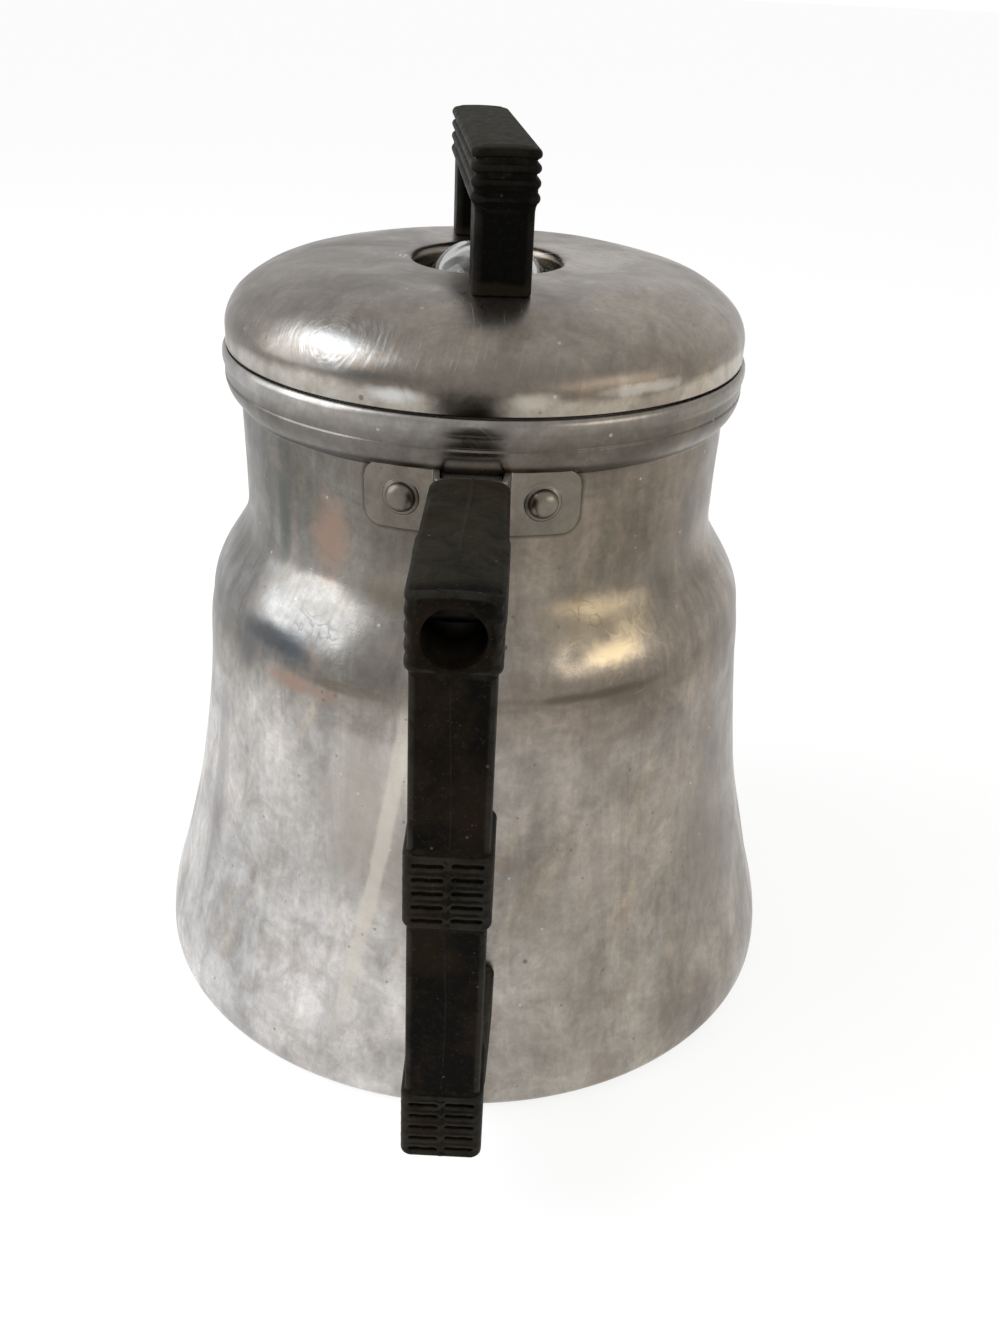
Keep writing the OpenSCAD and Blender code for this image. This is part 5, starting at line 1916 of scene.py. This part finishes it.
@dataclass
class LidHandle:
    """The bridge handle: a ribbed bar on two posts, astride the glass."""

    turn: float = 6.3
    post_y: float = 31.5
    post_half: tuple[float, float] = (6.0, 6.5)
    bar_half: tuple[float, float] = (6.0, 38.0)
    rib_half: tuple[float, float] = (6.95, 38.5)
    top_z: float = 208.9
    low_z: float = 197.5
    ribs: int = 4
    pitch: float = 2.85
    rib_thick: float = 2.16
    edge_r: float = 1.6
    seat: float = 0.12
    cell: float = 0.36

    def shape(self, x: Array, y: Array, z: Array) -> Array:
        """Distance to the handle, in the part's frame.

        Args:
            x, y, z: The place in the part's frame.

        Returns:
            The distance, below zero inside.
        """
        c, s = math.cos(math.radians(self.turn)), math.sin(math.radians(self.turn))
        a, b = x * c + y * s, y * c - x * s
        middle = (self.low_z + self.top_z) / 2
        top = z + 0.008 * a * a * eased(203, 208, z)
        tall = (self.top_z - self.low_z) / 2
        body = block((a, b, top), (0, 0, middle), (*self.bar_half, tall), self.edge_r)
        post = block((a, np.abs(b), z), (0, self.post_y, 188), (*self.post_half, 14), 1.7)
        body = joined(body, post, self.edge_r)
        for k in range(self.ribs):
            zi = self.top_z - (k + 0.5) * self.pitch + 0.12
            rib = prism(block((a, b), (0, 0), self.rib_half, 2.4),
                        np.abs(top - zi) - self.rib_thick / 2, 1.05)
            body = joined(body, rib, 0.25)
        far = np.hypot(x, y)
        lid = Lid()
        share = np.clip((far - lid.crown_r) / (lid.radius - lid.crown_r), 0, 1)
        rise = np.sqrt(np.maximum(1 - share ** 2, 0))
        surface = lid.shoulder_z + (lid.top_z - lid.shoulder_z) * rise
        return np.maximum(body, surface + self.seat - z)

    def build(self) -> bpy.types.Object:
        """Builds the handle.

        Returns:
            The piece.
        """
        points, faces, turn = skinned(self.shape, (-13, -41, 178), (13, 41, 210), self.cell)
        made = piece_from("lid_handle_moulding", points, faces)
        keep_values(made, "edge", turn)
        finish = Bakelite("old_bakelite_lid", black=(0.0012, 0.0011, 0.0008),
                          brown=(0.005, 0.0034, 0.0022), edge=(0.020, 0.018, 0.014),
                          fleck=(0.05, 0.045, 0.036), film=0.08, brown_below=0.1825)
        made.data.materials.append(finish.build())
        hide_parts("lid_handle")
        return made


# ---------------------------------------------------------------- fittings and studio

@dataclass
class Fittings:
    """Finishes for the pieces whose turned and stamped shapes are shown as they are."""

    steel: tuple[str, ...] = ("handle_screw", "handle_washer", "handle_nut", "lid_handle_screws",
                              "lid_handle_washers", "valve_disc")
    inner: tuple[str, ...] = ("lid_seat_ring", "dome_retainer", "spreader", "coffee_basket",
                              "basket_sleeve", "pump_tube", "tube_stop", "pump_foot")

    def dress(self) -> None:
        """Gives each piece its finish."""
        # near-black rusted steel, partly painted shade that stands for the shade deep in the
        # handle's bore
        steel = PlainMetal("rusted_steel", (0.022, 0.019, 0.016), (0.008, 0.006, 0.004), 0.6,
                           0.9).build()
        inner = PlainMetal("stained_sheet").build()
        for names, finish in ((self.steel, steel), (self.inner, inner)):
            for name in names:
                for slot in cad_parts[name].material_slots:
                    slot.material = finish


@dataclass
class Studio:
    """The floor, the soft lights and the camera."""

    floor_half: float = 12.0
    floor_pale: float = 0.85
    seen_glow: float = 0.78
    seen_floor: float = 0.34
    world_share: float = 0.56
    mirrored: float = 0.8
    seen: float = 1.0
    camera_turn: Place = (-0.36, 28.61, 2.64)
    camera_place: Place = (0.00873, -0.30305, 0.24036)
    focal_length: float = 35.11

    def shown_white(self, tree: bpy.types.NodeTree, own: Socket, white: Socket,
                    rays: tuple[str, ...] = ("Camera", "Glossy", "Transmission")) -> Socket:
        """A shader that is white where it is seen, mirrored or looked at through glass.

        Args:
            tree: The node tree.
            own: The shader for other rays.
            white: The white shader.
            rays: The rays that see it.

        Returns:
            The shader.
        """
        path = tree.nodes.new("ShaderNodeLightPath")
        best, *others = (path.outputs[f"Is {ray} Ray"] for ray in rays)
        for other in others:
            best = filled(tree, "Math", best, other, operation="MAXIMUM")
        return filled(tree, "MixShader", best, own, white)

    def floor(self) -> None:
        """Lays the pale floor."""
        h = self.floor_half / MM
        floor = piece_from("studio_floor", [(-h, -h, 0), (h, -h, 0), (h, h, 0), (-h, h, 0)],
                           [(0, 1, 2, 3)])
        material = bpy.data.materials.new("pale_floor")
        material.use_nodes = True
        tree = material.node_tree
        tree.nodes.clear()
        plain, dim = (filled(tree, "BsdfDiffuse", (pale,) * 3)
                      for pale in (self.floor_pale, self.seen_floor))
        glow = filled(tree, "Emission", (1, 1, 1), self.seen_glow)
        white = filled(tree, "AddShader", dim, glow)
        filled(tree, "OutputMaterial", self.shown_white(tree, plain, white))
        floor.data.materials.append(material)

    def world(self) -> None:
        """Sets the soft light from all round."""
        world = bpy.data.worlds.new("studio_air")
        bpy.context.scene.world = world
        world.use_nodes = True
        tree = world.node_tree
        tree.nodes.clear()
        low, mirrored, seen = (filled(tree, "Background", (1, 1, 1), share)
                               for share in (self.world_share, self.mirrored, self.seen))
        mixed = self.shown_white(tree, low, mirrored, ("Glossy", "Transmission"))
        filled(tree, "OutputWorld", self.shown_white(tree, mixed, seen, ("Camera",)))

    def lamp(self, name: str, azimuth: float, height: float, distance: float,
             size: tuple[float, float], power: float, colour: Colour) -> None:
        """Hangs a soft panel that faces the pot.

        Args:
            name: The lamp's name.
            azimuth: Degrees from the front, above zero towards +X.
            height: Degrees above the pot's middle.
            distance: Metres from the pot's middle.
            size: The panel's width and height in metres.
            power: Its watts.
            colour: Its colour.
        """
        a, h = math.radians(azimuth), math.radians(height)
        away = Vector((math.sin(a) * math.cos(h), -math.cos(a) * math.cos(h), math.sin(h)))
        light = bpy.data.lights.new(name, "AREA")
        light.shape, light.size, light.size_y = "RECTANGLE", size[0], size[1]
        light.energy, light.color = power, colour
        lamp = bpy.data.objects.new(name, light)
        lamp.matrix_world = (Matrix.Translation(Vector((0, 0, 0.1)) + away * distance)
                             @ away.to_track_quat("Z", "Y").to_matrix().to_4x4())
        bpy.context.scene.collection.objects.link(lamp)

    def camera(self) -> None:
        """Sets the camera a little above the pot's handle side."""
        yaw, pitch, roll = (math.radians(v) for v in self.camera_turn)
        ahead = Vector((math.sin(yaw) * math.cos(pitch), math.cos(yaw) * math.cos(pitch),
                        -math.sin(pitch)))
        right = Vector((math.cos(yaw), -math.sin(yaw), 0))
        up = right.cross(ahead)
        right, up = (math.cos(roll) * right + math.sin(roll) * up,
                     math.cos(roll) * up - math.sin(roll) * right)
        lens = bpy.data.cameras.new("camera")
        lens.lens, lens.sensor_width, lens.clip_start = self.focal_length, 36.0, 0.01
        camera = bpy.data.objects.new("camera", lens)
        turn = Matrix((right, up, -ahead)).transposed().to_4x4()
        camera.matrix_world = Matrix.Translation(self.camera_place) @ turn
        bpy.context.scene.collection.objects.link(camera)
        bpy.context.scene.camera = camera

    def build(self) -> None:
        """Sets up the whole studio."""
        self.camera()
        self.floor()
        self.world()
        self.lamp("key_panel", -80, 30, 0.9, (0.75, 0.85), 5.4, (0.93, 0.97, 1.0))
        self.lamp("warm_panel", 57, 16, 0.9, (0.6, 0.3), 1.3, (1.0, 0.93, 0.82))
        bpy.context.scene.view_settings.view_transform = "Standard"


def ride(piece: bpy.types.Object, body: str) -> None:
    """Fixes a piece to its body and reports it."""
    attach(piece, body)
    LOG.info("%s: %d faces on %s", piece.name, len(piece.data.polygons), body)


def main() -> None:
    """Builds the percolator's visible pieces in order."""
    logging.basicConfig(level=logging.INFO, format="%(name)s: %(message)s")
    Studio().build()
    pot, lid = PotShell(), Lid()
    ride(pot.build(), "pot")
    ride(Spout().build(pot), "pot")
    for piece in Bracket().build():
        ride(piece, "pot")
    ride(PotHandle().build(), "pot")
    ride(lid.shell(), "lid")
    ride(lid.dome(), "lid")
    ride(LidHandle().build(), "lid")
    Fittings().dress()


if __name__ == "__main__":
    main()
